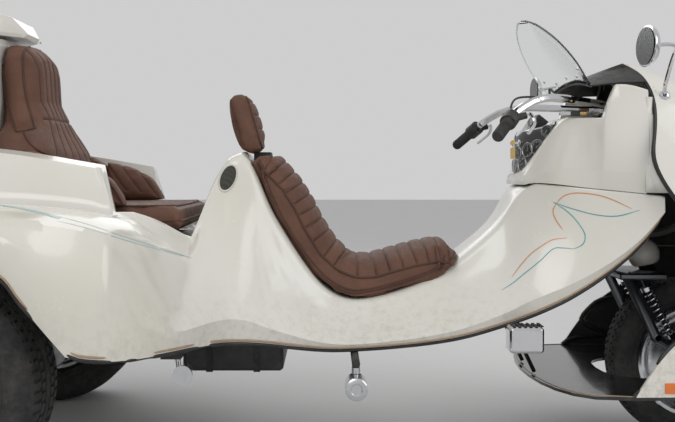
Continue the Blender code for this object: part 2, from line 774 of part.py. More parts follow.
def sphere(name, centre, radius, finish, sides=20, rings=12, cutter=False):
    bm = bmesh.new()
    bmesh.ops.create_uvsphere(bm, u_segments=sides, v_segments=rings, radius=radius)
    bmesh.ops.translate(bm, vec=centre, verts=bm.verts)
    return finish_mesh(name, bm, finish, cutter=cutter)


def make_steering_head():
    cream = material("Cream paint", CREAM, 0.3)
    head = sphere("steering_head", steer_point(STEER_HEAD[1] + 0.01), HEAD_R, cream)
    tube = cylinder("head_tube", steer_point(HEAD_BOTTOM_Z), steer_point(HEAD_TOP_Z), HEAD_TUBE_R, cream)
    join(head, [tube])
    trim = box("head_low_cutter", (0.9, -0.2, 0.4), (1.4, 0.2, 0.5), None, cutter=True)
    turn = steer_point(HEAD_BOTTOM_Z)
    trim.data.transform(Matrix.Translation((0, 0, -0.5)))
    trim.data.transform(Matrix.Translation((-1.15, 0, 0)))
    trim.data.transform(Matrix.Rotation(-STEER_RAKE, 4, "Y"))
    trim.data.transform(Matrix.Translation(turn))
    boolean(head, trim)


def make_fork(parent):
    chrome = material("Chrome", CHROME, 0.08, 1.0)
    low, high = YOKE
    fork = box("fork", (low[0], low[1], YOKE_Z[0]), (high[0], high[1], YOKE_Z[1]), chrome, bevel=0.006,
               segments=1)
    stub_top = steer_point(HEAD_BOTTOM_Z) - (steer_point(1) - steer_point(0)) * BEARING_GAP
    tools = [cylinder("stub", steer_point(0.595), stub_top, 0.03, chrome),
             cylinder("axle", (FRONT_AXLE_X, -0.15, FRONT_AXLE_Z), (FRONT_AXLE_X, 0.15, FRONT_AXLE_Z),
                      AXLE_R, chrome,
                      sides=20)]
    for side in (1, -1):
        top = (FORK_TOP[0], side * FORK_Y, FORK_TOP[1])
        elbow = (FORK_ELBOW[0], side * FORK_Y, FORK_ELBOW[1])
        axle = (FRONT_AXLE_X, side * FORK_Y, FRONT_AXLE_Z)
        tools.append(cylinder("leg", top, elbow, FORK_TUBE_R, chrome, sides=16))
        tools.append(sphere("elbow", elbow, FORK_TUBE_R + 0.003, chrome, 12, 8))
        tools.append(cylinder("link", elbow, axle, FORK_TUBE_R - 0.002, chrome, sides=16))
        tools.append(cylinder("eye", (axle[0], side * (FORK_Y - 0.018), axle[2]),
                              (axle[0], side * (FORK_Y + 0.018), axle[2]),
                              0.028, chrome, sides=20))
        rod_top = (1.085, side * (FORK_Y - 0.01), YOKE_Z[0] + 0.01)
        rod_low = (1.2, side * FORK_Y, 0.345)
        tools.append(cylinder("rod", rod_top, rod_low, 0.008, chrome, sides=12))
    join(fork, tools)
    fork.parent = parent
    fork.matrix_parent_inverse = parent.matrix_world.inverted()


def make_front_wheel(parent):
    centre = (FRONT_AXLE_X, 0.0, FRONT_AXLE_Z)
    make_tyre("front_tyre", centre, FRONT_TYRE_R, FRONT_TYRE_WIDTH, FRONT_RIM_R, WHEEL_SIDES, parent)
    make_rim("front_rim", centre, FRONT_RIM_R, 0.05, FRONT_HUB_HALF, AXLE_R + BEARING_GAP, WHEEL_SIDES,
             parent)


def make_tyre(name, centre, radius, width, rim_radius, sides, parent=None):
    half = width / 2
    seat = rim_radius + GAP
    profile = [(seat, -half * 0.72), (seat + 0.012, -half * 0.86), (seat + (radius - seat) * 0.5, -half)]
    profile += [(radius - 0.022, -half * 0.95), (radius - 0.004, -half * 0.74), (radius, -half * 0.4),
                (radius, 0.0)]
    profile += [(r, -offset) for r, offset in reversed(profile[:-1])]
    return turned(name, profile, centre, sides, material("Tyre", RUBBER, 0.85), parent, closed=True)


def make_rim(name, centre, radius, half, hub_half, bore, sides, parent=None, dish=0.0):
    """A wheel rim: a drop-centre barrel, a dished disc and a hub with its bore."""
    edge = half * 1.0
    profile = [(bore, -hub_half), (0.045, -hub_half), (0.05, -0.012 + dish), (radius * 0.55, -0.01 + dish)]
    profile += [(radius - 0.035, -0.016 + dish), (radius - 0.03, -edge * 0.8), (radius - 0.012, -edge)]
    profile += [(radius, -edge), (radius, edge), (radius - 0.012, edge), (radius - 0.03, edge * 0.8)]
    profile += [(radius - 0.035, 0.004 + dish), (radius * 0.55, 0.012 + dish), (0.05, 0.014 + dish),
                (0.045, hub_half)]
    profile += [(bore, hub_half)]
    return turned(name, profile, centre, sides, material("Alloy", ALLOY, 0.25, 0.9), parent, closed=True)


def make_handlebar(parent):
    chrome = material("Chrome", CHROME, 0.08, 1.0)
    half = [(0.84, 0.19, 1.194), (0.74, 0.25, 1.199), (0.665, 0.298, 1.182)]
    half += [lerp(GRIP_START, GRIP_END, -0.2), lerp(GRIP_START, GRIP_END, -0.1), GRIP_START]
    inner = [(steer_x(BAR_CLAMP_Z), 0.0, BAR_CLAMP_Z), (0.968, 0.09, 1.182), (0.91, 0.148, 1.188)]
    right = mirror_y(reversed(inner[1:] + half))
    bar = tube_mesh("handlebar", right + inner + half, BAR_R, chrome, sides_level=2, steps=2)
    low = steer_point(HEAD_TOP_Z) + (steer_point(1) - steer_point(0)) * BEARING_GAP
    stem = cylinder("stem", low, steer_point(BAR_CLAMP_Z + 0.006), STEM_R, chrome, sides=20)
    middle = steer_x(BAR_CLAMP_Z)
    low_corner = (middle - CLAMP_HALF[0], -CLAMP_HALF[1], BAR_CLAMP_Z - CLAMP_BELOW)
    high_corner = (middle + CLAMP_HALF[0], CLAMP_HALF[1], BAR_CLAMP_Z + CLAMP_ABOVE)
    clamp = box("clamp", low_corner, high_corner, chrome, bevel=0.006, segments=1)
    join(bar, [stem, clamp])
    bar.parent = parent
    bar.matrix_parent_inverse = parent.matrix_world.inverted()
    rubber = material("Grip rubber", RUBBER, 0.7)
    black = material("Black plastic", BLACK, 0.5)
    for side, tag in ((1, "left"), (-1, "right")):
        start = (GRIP_START[0], side * GRIP_START[1], GRIP_START[2])
        end = (GRIP_END[0], side * GRIP_END[1], GRIP_END[2])
        split = lerp(start, end, HOUSING_SHARE)
        length = (Vector(end) - Vector(start)).length
        inner_end = lerp(start, end, 0.002)
        outer_start = lerp(start, end, HOUSING_SHARE + GAP / length)
        case = cylinder("switch_housing_" + tag, inner_end, split, 0.027, black, sides=16, parent=parent)
        root = Vector(lerp(start, end, 0.14))
        reach = Vector((0.052, 0, 0.014))
        perch = cylinder("perch", root, root + reach, 0.011, black, sides=12)
        cylinder("grip_" + tag, outer_start, end, 0.0195, rubber, sides=16, parent=parent,
                 end_radius=0.0185)
        hold = root + reach * (1 + GAP / reach.length * 1.5)
        path = [hold, hold + reach * 0.12, hold + reach * 0.24, hold + Vector((0.016, side * 0.05, -0.025)),
                hold + Vector((-0.02, side * 0.12, -0.062))]
        join(case, [perch])
        tube_mesh("lever_" + tag, path, 0.006, chrome, parent=parent, sides_level=1, steps=3)


# Seats

RIDER_SEAT_HALF = 0.2
RIDER_SEAT_TOP = [(-0.272, 1.0), (-0.235, 1.028), (-0.19, 1.022), (-0.157, 0.995), (-0.1, 0.929),
                  (-0.057, 0.861)]
RIDER_SEAT_TOP += [(-0.022, 0.79), (0.025, 0.717), (0.08, 0.664), (0.14, 0.66), (0.196, 0.675),
                   (0.296, 0.703)]
RIDER_SEAT_TOP += [(0.375, 0.719), (0.43, 0.71), (0.467, 0.682), (0.477, 0.65)]
RIDER_SEAT_BASE_X = (0.45, 0.41, 0.34, 0.28, 0.2, 0.134, 0.077, 0.02, -0.057, -0.128, -0.188, -0.22, -0.255)
SEAT_SINK = 0.015


def make_rider_seat(body_form):
    leather = material("Brown leather", LEATHER, 0.5)
    base = [(x, TOP_Z(x) - SEAT_SINK) for x in RIDER_SEAT_BASE_X]
    seat = prism("rider_seat", RIDER_SEAT_TOP + base, -RIDER_SEAT_HALF, RIDER_SEAT_HALF, leather,
                 bevel=0.022)
    boolean(seat, body_form)


HEADREST_HALF = 0.11
HEADREST_OUTLINE = [(-0.33, 1.229), (-0.296, 1.231), (-0.262, 1.211), (-0.239, 1.157), (-0.22, 1.086),
                    (-0.224, 1.045)]
HEADREST_OUTLINE += [(-0.235, 1.022), (-0.262, 1.012), (-0.3, 1.02), (-0.318, 1.05), (-0.343, 1.14),
                     (-0.352, 1.205)]


def make_headrest(body_form):
    leather = material("Brown leather", LEATHER, 0.5)
    pad = prism("rider_headrest", HEADREST_OUTLINE, -HEADREST_HALF, HEADREST_HALF, leather, bevel=0.028)
    boolean(pad, body_form)
    keep_off = seat_form_cutter("seat_form_cutter")
    boolean(pad, keep_off)


def seat_form_cutter(name):
    """The rider seat's outline grown by the gap, wider than the headrest."""
    grown = [(x, z + 2.5 * GAP) for x, z in RIDER_SEAT_TOP]
    base = [(x, TOP_Z(x) - 2 * SEAT_SINK) for x in RIDER_SEAT_BASE_X]
    return prism(name, grown + base, -RIDER_SEAT_HALF - 0.05, RIDER_SEAT_HALF + 0.05, None, cutter=True)


CUSHION_X = (-0.985, -0.458)
CUSHION_HALF = 0.355
CUSHION_TOP_Z = 0.84
BACKREST_LEVELS = [
    (0.8405, 0.36, -1.1, -0.875),
    (0.92, 0.365, -1.11, -0.88),
    (1.02, 0.36, -1.115, -0.905),
    (1.08, 0.32, -1.12, -0.935),
    (1.13, 0.235, -1.12, -0.955),
    (1.2, 0.2, -1.12, -0.965),
    (1.3, 0.195, -1.125, -0.972),
    (1.36, 0.18, -1.125, -0.985),
    (1.398, 0.14, -1.125, -1.01),
    (1.412, 0.09, -1.125, -1.045),
]
BOLSTER_OUTLINE = [(-0.872, 0.8404), (-0.64, 0.8404), (-0.652, 0.88), (-0.69, 0.935), (-0.75, 0.968),
                   (-0.83, 0.99)]
BOLSTER_OUTLINE += [(-0.868, 1.0)]
BOLSTER_Y = (0.3, 0.3835)


def make_passenger_seat(body_form):
    leather = material("Brown leather", LEATHER, 0.5)
    low_x, high_x = CUSHION_X
    outline = [(low_x, DECK_Z + 2 * GAP), (-0.59, DECK_Z + 2 * GAP), (-0.5, DECK_Z + 0.0425),
               (high_x, DECK_Z + 0.046)]
    outline += [(high_x, CUSHION_TOP_Z), (low_x, CUSHION_TOP_Z)]
    prism("passenger_cushion", outline, -CUSHION_HALF, CUSHION_HALF, leather, bevel=0.028, segments=3)
    rings = []
    for z, half, rear, front in BACKREST_LEVELS:
        ring = superellipse((front - rear) / 2, half, 28, 3.0)
        rings.append([((front + rear) / 2 + a, b, z + GAP) for a, b in ring])
    back = finish_mesh("passenger_backrest", loft(rings), leather)
    boolean(back, body_form)
    for side, tag in ((1, "left"), (-1, "right")):
        ends = sorted((side * BOLSTER_Y[0], side * BOLSTER_Y[1]))
        bolster = prism("seat_bolster_" + tag, BOLSTER_OUTLINE, ends[0], ends[1], leather, bevel=0.015)
        boolean(bolster, body_form)


# Chassis and drive

BACKBONE_R = 0.034
BACKBONE = [(1.12, 0.0, 0.67), (0.98, 0.0, 0.745), (0.8, 0.0, 0.72), (0.62, 0.0, 0.63), (0.45, 0.0, 0.52)]
BACKBONE += [(0.28, 0.0, 0.44), (0.1, 0.0, 0.395), (-0.2, 0.0, 0.405), (-0.6, 0.0, 0.42), (-0.96, 0.0, 0.4)]
PEG_X = 0.087
PEG_BAR_Z = 0.357
REAR_AXLE_Z = REAR_TYRE_R
GEARBOX = ((-1.27, -0.13, 0.24), (-0.97, 0.13, 0.45))
WHEEL_FACE_Y = 0.5


OUTRIGGER_X = -0.466
OUTRIGGER_Z = 0.398
ENGINE_TOP_Z = 0.5
NOSE_ARM_END = {side: (1.17, side * 0.397, 0.8) for side in (1, -1)}


def axis_tube(name, path, radius, finish, steps=3):
    return tube_mesh(name, path, radius, finish, sides_level=2, steps=steps)


def make_chassis(nose_cutter):
    paint = material("Chassis black", BLACK, 0.45)
    frame = axis_tube("chassis", BACKBONE, BACKBONE_R, paint)
    bars = []
    for x, half, z in ((PEG_X, PEG_POST_Y, PEG_BAR_Z), (PEDAL_X, PEDAL_Y - 0.03, PEDAL_BAR_Z)):
        bars.append(cylinder("cross_bar", (x, -half, z), (x, half, z), 0.013, paint, sides=16))
    for side in (1, -1):
        reach = side * (PEG_POST_Y - 0.014)
        bars.append(cylinder("peg_post", (PEG_X, reach, PEG_BAR_Z), (PEG_X, reach, PEG_Z), 0.012, paint,
                             sides=16))
        bars.append(cylinder("peg", (PEG_X, side * (PEG_POST_Y - 0.03), PEG_Z),
                             (PEG_X, side * (PEG_POST_Y + 0.05), PEG_Z),
                             PEG_R, paint, sides=24))
    bars.append(box("pedal_post", (PEDAL_X - 0.02, -0.015, PEDAL_BAR_Z - 0.012),
                    (PEDAL_X + 0.02, 0.015, 0.63), paint))
    for x, half in ((OUTRIGGER_X, 0.575), (-0.72, 0.33)):
        bars.append(box("outrigger", (x - 0.03, -half, OUTRIGGER_Z),
                        (x + 0.03, half, OUTRIGGER_Z + 0.036), paint))
    for side in (1, -1):
        bars.append(cylinder("tray_rod", (PEDAL_X, side * 0.1, PEDAL_BAR_Z),
                             (0.715, side * 0.1, NOSE_BOTTOM_Z + 0.0045),
                             0.007, paint, sides=10))
        arm = [(0.98, side * 0.01, 0.745), (1.1, side * 0.17, 0.745), (1.15, side * 0.3, 0.78),
               NOSE_ARM_END[side]]
        bars.append(tube_mesh("nose_arm", arm, 0.014, paint, sides_level=1, steps=3))
        rail = [(OUTRIGGER_X, side * 0.31, 0.415), (-0.72, side * 0.31, 0.415), (-0.94, side * 0.31, 0.5),
                (-1.2, side * 0.31, 0.56), (-1.6, side * 0.31, 0.52)]
        bars.append(tube_mesh("side_rail", rail, 0.022, paint, sides_level=1, steps=2))
        bars.append(box("deck_post", (-0.96, side * 0.31 - 0.018, 0.48),
                        (-0.92, side * 0.31 + 0.018, DECK_Z - BODY_WALL + 2 * GAP), paint))
    bars.append(box("rear_cross", (-1.63, -0.33, ENGINE_TOP_Z + GAP),
                    (-1.585, 0.33, ENGINE_TOP_Z + 0.04), paint))
    join(frame, bars)
    boolean(frame, sphere("head_ball_cutter", steer_point(STEER_HEAD[1] + 0.01), HEAD_R + GAP, None,
                          cutter=True))
    boolean(frame, cylinder("head_tube_cutter", steer_point(HEAD_BOTTOM_Z), steer_point(HEAD_TOP_Z),
                            HEAD_TUBE_R + GAP, None,
                            cutter=True))
    boolean(frame, nose_cutter)


def make_rear_axle():
    steel = material("Cast alloy", STEEL, 0.5, 0.7)
    low, high = GEARBOX
    axle = box("rear_axle", low, high, steel, bevel=0.02, segments=1)
    tube = cylinder("axle_tube", (WHEELBASE_REAR_X, -WHEEL_FACE_Y, REAR_AXLE_Z),
                    (WHEELBASE_REAR_X, WHEEL_FACE_Y, REAR_AXLE_Z),
                    0.032, steel, sides=20)
    drums = []
    for side in (1, -1):
        drums.append(cylinder("drum", (WHEELBASE_REAR_X, side * (WHEEL_FACE_Y - 0.07), REAR_AXLE_Z),
                              (WHEELBASE_REAR_X, side * WHEEL_FACE_Y, REAR_AXLE_Z), 0.115, steel, sides=28))
    join(axle, [tube] + drums)


ENGINE_LONG = 0.3497
ENGINE_HALF = 0.15
ENGINE_Z = (0.25, ENGINE_TOP_Z)
BANK_INSET = 0.04
BANK_Y = (0.1, 0.29)
BANK_Z = (0.33, 0.45)
FIN_COUNT = 6
FIN_START_Y = 0.165
FIN_PITCH, FIN_THICK = 0.018, 0.006
FIN_PROUD = 0.012
SHROUD_HALF = 0.22
SHROUD_OUTLINE = [(-0.23, 0.44), (-0.09, 0.44), (-0.09, 0.66), (-0.13, 0.7), (-0.19, 0.7), (-0.23, 0.66)]


def make_engine():
    alloy = material("Engine alloy", STEEL, 0.5, 0.8)
    face = GEARBOX[0][0] - GAP
    back = face - ENGINE_LONG
    low_corner = (back, -ENGINE_HALF, ENGINE_Z[0])
    engine = box("engine_block", low_corner, (face, ENGINE_HALF, ENGINE_Z[1]), alloy, bevel=0.015,
                 segments=1)
    banks = []
    for side in (1, -1):
        start, end = back + BANK_INSET, face - BANK_INSET - GAP
        low_y, high_y = sorted((side * BANK_Y[0], side * BANK_Y[1]))
        banks.append(box("bank", (start, low_y, BANK_Z[0]), (end, high_y, BANK_Z[1]), alloy))
        for fin in range(FIN_COUNT):
            y = side * (FIN_START_Y + FIN_PITCH * fin)
            low_y, high_y = sorted((y, y + side * FIN_THICK))
            low_corner = (start - FIN_PROUD, low_y, BANK_Z[0] - FIN_PROUD)
            high_corner = (end + FIN_PROUD, high_y, BANK_Z[1] + FIN_PROUD)
            banks.append(box("fin", low_corner, high_corner, alloy))
    shroud = [(GEARBOX[0][0] + x, z) for x, z in SHROUD_OUTLINE]
    banks.append(prism("shroud", shroud, -SHROUD_HALF, SHROUD_HALF, alloy, bevel=0.01, segments=1))
    join(engine, banks)


EXHAUST_TOP_X = GEARBOX[0][0] - 0.18
EXHAUST_R = 0.019
CAN_LONG = 0.145
CAN_R = 0.04


def make_exhausts():
    chrome = material("Chrome", CHROME, 0.08, 1.0)
    for side, tag in ((1, "left"), (-1, "right")):
        path = [(EXHAUST_TOP_X, side * 0.22, z) for z in (0.3176, 0.305, 0.292)]
        path += [(EXHAUST_TOP_X - 0.04, side * 0.26, 0.235), (EXHAUST_TOP_X - 0.11, side * 0.3, 0.228)]
        path.append((EXHAUST_TOP_X - 0.15, side * 0.32, 0.23))
        pipe = tube_mesh("exhaust_" + tag, path, EXHAUST_R, chrome, sides_level=1, steps=3)
        start = (EXHAUST_TOP_X - 0.14, side * 0.318, 0.229)
        end = (start[0] - CAN_LONG, side * 0.36, 0.245)
        can = cylinder("can", start, end, CAN_R, chrome, sides=20)
        join(pipe, [can])


def make_rear_wheels():
    for side, tag in ((1, "left"), (-1, "right")):
        centre = (WHEELBASE_REAR_X, side * REAR_TRACK_HALF, REAR_AXLE_Z)
        make_tyre("rear_tyre_" + tag, centre, REAR_TYRE_R, REAR_TYRE_WIDTH, REAR_RIM_R, WHEEL_SIDES)
        make_rear_rim("rear_rim_" + tag, centre, side)


def make_rear_rim(name, centre, side):
    half = REAR_TYRE_WIDTH / 2 - 0.012
    inner = -(REAR_TRACK_HALF - WHEEL_FACE_Y) + BEARING_GAP
    profile = [(0.0, inner), (0.07, inner), (0.075, 0.03), (REAR_RIM_R * 0.6, 0.05),
               (REAR_RIM_R - 0.03, 0.03)]
    profile += [(REAR_RIM_R - 0.03, -half * 0.9), (REAR_RIM_R - 0.012, -half), (REAR_RIM_R, -half),
                (REAR_RIM_R, half)]
    profile += [(REAR_RIM_R - 0.012, half), (REAR_RIM_R - 0.02, half * 0.85), (REAR_RIM_R - 0.025, 0.055)]
    profile += [(REAR_RIM_R * 0.6, 0.07), (0.05, 0.062), (0.045, 0.085), (0.0, 0.088)]
    profile = [(r, side * offset) for r, offset in profile]
    return turned(name, profile, centre, WHEEL_SIDES, material("Alloy", ALLOY, 0.25, 0.9))


# Small outer pieces

PEG_POST_Y = 0.44
PEG_Z = 0.29
PEG_R = 0.034
PEDAL_X = 0.63
PEDAL_Y = 0.34
PEDAL_BAR_Z = 0.44


def make_pedals():
    chrome = material("Chrome", CHROME, 0.08, 1.0)
    for side, tag in ((1, "left"), (-1, "right")):
        ends = sorted((side * (PEDAL_Y - 0.0296), side * (PEDAL_Y + 0.05)))
        box("foot_pedal_" + tag, (PEDAL_X - 0.055, ends[0], 0.378), (PEDAL_X + 0.055, ends[1], 0.462),
            chrome,
            bevel=0.008, segments=1)


BATTERY = ((-0.49, -0.19, 0.281), (-0.15, 0.19, 0.3977))


def make_battery_box():
    battery = box("battery_box", BATTERY[0], BATTERY[1], material("Black plastic", BLACK, 0.5),
                  bevel=0.01, segments=1)
    low, high = BATTERY
    boolean(battery, box("battery_groove_cutter", (low[0] - 0.1, -0.037, 0.36),
                         (high[0] + 0.1, 0.037, 0.5), None, cutter=True))


LID_HINGE = (REAR_END_X + 0.015, 1.4206)
LID_BASE_Z = LID_HINGE[1]
LID_HALF = 0.3
LID_OUTLINE = [(-1.062, LID_BASE_Z), (-1.05, 1.436), (-1.09, 1.487), (-1.2, 1.51)]
LID_OUTLINE += [(REAR_END_X + 0.22, 1.525), (REAR_END_X + 0.04, 1.5), (LID_HINGE[0], 1.45)]
TRUNK_MOUTH = ((REAR_END_X + 0.06, -0.235, 1.36), (-1.17, 0.235, 1.5))
TRUNK_FLOOR = ((REAR_END_X + 0.0092, -0.25, 1.0), (-1.145, 0.25, 1.01))
DASH_STATIONS = (0.685, 0.71, 0.74, 0.77, 0.79)
DASH_INSET = 0.036
DASH_THICK = 0.006
DISPLAY_OUTLINE = [(0.7358, 1.0665), (0.7762, 1.1295), (0.740, 1.158), (0.699, 1.094)]
DISPLAY_Y = (-0.06, 0.075)
CABLE_R = 0.0035
CABLE_ROUTE = [
    (0.5845, -0.3565, 1.1555),
    (0.586, -0.356, 1.168),
    (0.602, -0.343, 1.189),
    (0.652, -0.285, 1.199),
    (0.7305, -0.233, 1.2005),
    (0.82, -0.175, 1.198),
    (0.9, -0.115, 1.197),
    (0.945, -0.075, 1.201),
    (0.975, -0.046, 1.213),
    (0.984, -0.04, 1.206),
    (0.984, -0.04, 1.1992),
]
TAIL_LAMP_Y = (0.52, 0.7)
TAIL_LAMP_Z = (0.62, 0.7)
TAIL_LAMP_DEEP = 0.018
BUMPER_PROUD = 0.03
BUMPER_THICK = 0.019
BUMPER_HALF = 0.6
BUMPER_Z = (0.53, 0.566)
BUMPER_FOOT_Y = (0.38, 0.42)
BUMPER_FOOT_Z = (0.535, 0.56)
BUMPER_FOOT_SUNK = 0.004


def make_trunk(shell):
    """The load space in the tower behind the passenger: its mouth, floor and hinged lid."""
    mouth = box("trunk_mouth_cutter", *TRUNK_MOUTH, None, cutter=True)
    boolean(shell, mouth)
    cream = material("Cream gelcoat", CREAM, 0.18)
    lid = prism("trunk_lid", [LID_HINGE] + LID_OUTLINE, -LID_HALF, LID_HALF, cream, bevel=0.012, segments=1)
    hinge = add_empty("lid_hinge_axis", (LID_HINGE[0], 0, LID_HINGE[1]))
    lid.parent = hinge
    lid.matrix_parent_inverse = hinge.matrix_world.inverted()
    box("trunk_floor", *TRUNK_FLOOR, material("Trunk liner", BLACK, 0.8))


def make_dash():
    black = material("Black gloss", BLACK, 0.2)
    rows = []
    for x in DASH_STATIONS:
        half = HOUSING_TOP_Y(x) - DASH_INSET
        lift = 2 * GAP
        rows.append([(x - lift * 0.83, half * share / 4,
                      HOUSING_TOP_Z(x) + lift * 0.56) for share in range(-4, 5)])
    bm = loft(rows, closed_ring=False, cap_start=False, cap_end=False)
    bmesh.ops.recalc_face_normals(bm, faces=bm.faces)
    if sum(f.normal.x for f in bm.faces) > 0:
        bmesh.ops.reverse_faces(bm, faces=bm.faces)
    panel = finish_mesh("dash_panel", bm, black, turn_out=False)
    solidify(panel, DASH_THICK, offset=1.0)
    freeze(panel)
    join(panel, [prism("display", DISPLAY_OUTLINE, *DISPLAY_Y, black, bevel=0.004, segments=1)])


def make_cable(parent):
    tube_mesh("control_cable", CABLE_ROUTE, CABLE_R, material("Cable black", BLACK, 0.6), parent=parent,
              sides_level=1,
              steps=2)


def make_rear_fittings():
    chrome = material("Chrome", CHROME, 0.08, 1.0)
    red = material("Red lamp", RED, 0.15)
    back = REAR_END_X - GAP
    for side, tag in ((1, "left"), (-1, "right")):
        low_y, high_y = sorted(side * y for y in TAIL_LAMP_Y)
        low_corner = (back - TAIL_LAMP_DEEP, low_y, TAIL_LAMP_Z[0])
        box("tail_lamp_" + tag, low_corner, (back, high_y, TAIL_LAMP_Z[1]), red, bevel=0.004, segments=1)
    rear = REAR_END_X - BUMPER_PROUD
    inner = rear + BUMPER_THICK
    low_corner, high_corner = (rear, -BUMPER_HALF, BUMPER_Z[0]), (inner, BUMPER_HALF, BUMPER_Z[1])
    bar = box("rear_bumper", low_corner, high_corner, chrome, bevel=0.008, segments=1)
    feet = []
    for side in (1, -1):
        low_y, high_y = sorted(side * y for y in BUMPER_FOOT_Y)
        low_corner = (inner - BUMPER_FOOT_SUNK, low_y, BUMPER_FOOT_Z[0])
        feet.append(box("foot", low_corner, (back, high_y, BUMPER_FOOT_Z[1]), chrome))
    join(bar, feet)


def main():
    clear_scene()
    body = make_body()
    make_trunk(body)
    cabin_form = body_cutter("cabin_form_cutter", -1.3, -0.4)
    saddle_form = body_cutter("saddle_form_cutter", -0.43, 0.56)
    make_housing()
    upper = make_nose()
    upper_cutter = wall_cutter("upper_wall_cutter", upper, NOSE_WALL)
    make_tray()
    cowl_cutter = make_cowl()
    make_screen(cowl_cutter)
    make_headlamps(upper)
    make_mirrors(upper_cutter)
    axis = steering_frame()
    make_steering_head()
    make_fork(axis)
    make_front_wheel(axis)
    make_handlebar(axis)
    make_cable(axis)
    make_rider_seat(saddle_form)
    make_headrest(saddle_form)
    make_passenger_seat(cabin_form)
    make_chassis(upper_cutter)
    make_rear_axle()
    make_engine()
    make_exhausts()
    make_rear_wheels()
    make_pedals()
    make_battery_box()
    make_dash()
    make_rear_fittings()


if __name__ in ("__main__", "part"):
    main()
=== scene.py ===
"""A motor trike: finishes, padded leather seats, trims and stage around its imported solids.

Metres. +X is the front, +Y the rider's left, +Z up. Run it in Blender as a script.
"""

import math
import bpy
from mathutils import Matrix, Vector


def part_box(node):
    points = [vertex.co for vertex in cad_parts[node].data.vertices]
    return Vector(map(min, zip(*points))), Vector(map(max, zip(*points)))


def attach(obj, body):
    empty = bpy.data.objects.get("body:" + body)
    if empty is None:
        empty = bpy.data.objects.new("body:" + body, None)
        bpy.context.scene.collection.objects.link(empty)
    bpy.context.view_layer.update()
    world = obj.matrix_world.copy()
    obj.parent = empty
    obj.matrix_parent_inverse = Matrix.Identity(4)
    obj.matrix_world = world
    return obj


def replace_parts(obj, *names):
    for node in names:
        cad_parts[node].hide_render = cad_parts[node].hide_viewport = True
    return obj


bl_info = {
    "name": "Motor trike looks",
    "version": (1, 0, 0),
    "blender": (4, 5, 0),
    "location": "View3D > Sidebar > Trike",
    "description": "Builds the finishes, leather seats, trims and stage of a motor trike",
    "category": "Object",
}

import bmesh
import bpy
from bpy.props import FloatProperty, FloatVectorProperty, IntProperty, PointerProperty
from mathutils import Matrix, Vector
from mathutils.bvhtree import BVHTree

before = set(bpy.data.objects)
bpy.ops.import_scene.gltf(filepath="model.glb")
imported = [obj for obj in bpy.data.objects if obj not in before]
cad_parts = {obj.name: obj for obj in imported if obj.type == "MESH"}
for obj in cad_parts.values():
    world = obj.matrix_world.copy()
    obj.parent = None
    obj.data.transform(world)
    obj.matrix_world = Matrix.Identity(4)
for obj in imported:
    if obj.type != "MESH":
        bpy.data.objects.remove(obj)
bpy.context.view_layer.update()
CATEGORY = "Trike"
RIGHT, LEFT = -1, 1
SIDES = ((LEFT, "left"), (RIGHT, "right"))

# Camera, which also places what is drawn on the body from the photograph
PHOTO_WIDTH, PHOTO_HEIGHT = 675, 422
CAMERA_AT = Vector((0.0, -3.35, 0.95))
LENS_MM, SENSOR_MM = 50.0, 36.0
PIXELS_PER_UNIT = PHOTO_WIDTH * LENS_MM / SENSOR_MM
HORIZON = (328.0, 173.0)

# Wheels
FRONT_WHEEL = Vector((1.29, 0.0, 0.29))
REAR_WHEEL_X, REAR_WHEEL_Y, REAR_WHEEL_Z = -1.14, 0.665, 0.34


# Materials
class Shade:
    """A node tree with one Principled shader, and short ways to wire it."""

    def __init__(self, name, colour, roughness, metallic=0.0, coat=0.0, specular=0.5):
        self.material = bpy.data.materials.new(name)
        self.material.use_nodes = True
        self.tree = self.material.node_tree
        self.shader = self.tree.nodes["Principled BSDF"]
        self.set("Base Color", (*colour, 1.0))
        self.set("Roughness", roughness)
        self.set("Metallic", metallic)
        self.set("Coat Weight", coat)
        self.set("Specular IOR Level", specular)
        self.place = self.node("ShaderNodeTexCoord").outputs["Object"]

    def set(self, socket, value):
        self.shader.inputs[socket].default_value = value

    def node(self, kind, inputs=None, **settings):
        made = self.tree.nodes.new(kind)
        for key, value in settings.items():
            setattr(made, key, value)
        for key, value in (inputs or {}).items():
            if isinstance(value, bpy.types.NodeSocket):
                self.tree.links.new(value, made.inputs[key])
            else:
                made.inputs[key].default_value = value
        return made

    def link(self, output, socket):
        self.tree.links.new(output, self.shader.inputs[socket])

    def noise(self, scale, detail=4.0, roughness=0.55, place=None):
        inputs = {"Vector": place or self.place, "Scale": scale, "Detail": detail, "Roughness": roughness}
        return self.node("ShaderNodeTexNoise", inputs).outputs["Fac"]

    def remap(self, value, low, high, to_low=0.0, to_high=1.0):
        inputs = {"Value": value, "From Min": low, "From Max": high, "To Min": to_low, "To Max": to_high}
        return self.node("ShaderNodeMapRange", inputs, clamp=True).outputs["Result"]

    def math(self, operation, a, b):
        return self.node("ShaderNodeMath", {0: a, 1: b}, operation=operation).outputs["Value"]

    def mix(self, share, a, b):
        made = self.node("ShaderNodeMix", data_type="RGBA")
        for key, value in ((0, share), (6, a), (7, b)):
            if isinstance(value, bpy.types.NodeSocket):
                self.tree.links.new(value, made.inputs[key])
            else:
                made.inputs[key].default_value = (*value, 1.0) if key else value
        return made.outputs[2]

    def bump(self, height, distance, strength=1.0):
        made = self.node("ShaderNodeBump", {"Height": height, "Distance": distance, "Strength": strength})
        self.link(made.outputs["Normal"], "Normal")
        return made

    def height(self, axis="Z"):
        return self.node("ShaderNodeSeparateXYZ", {"Vector": self.place}).outputs[axis]


def shaded(colour, share):
    return tuple(channel * share for channel in colour)


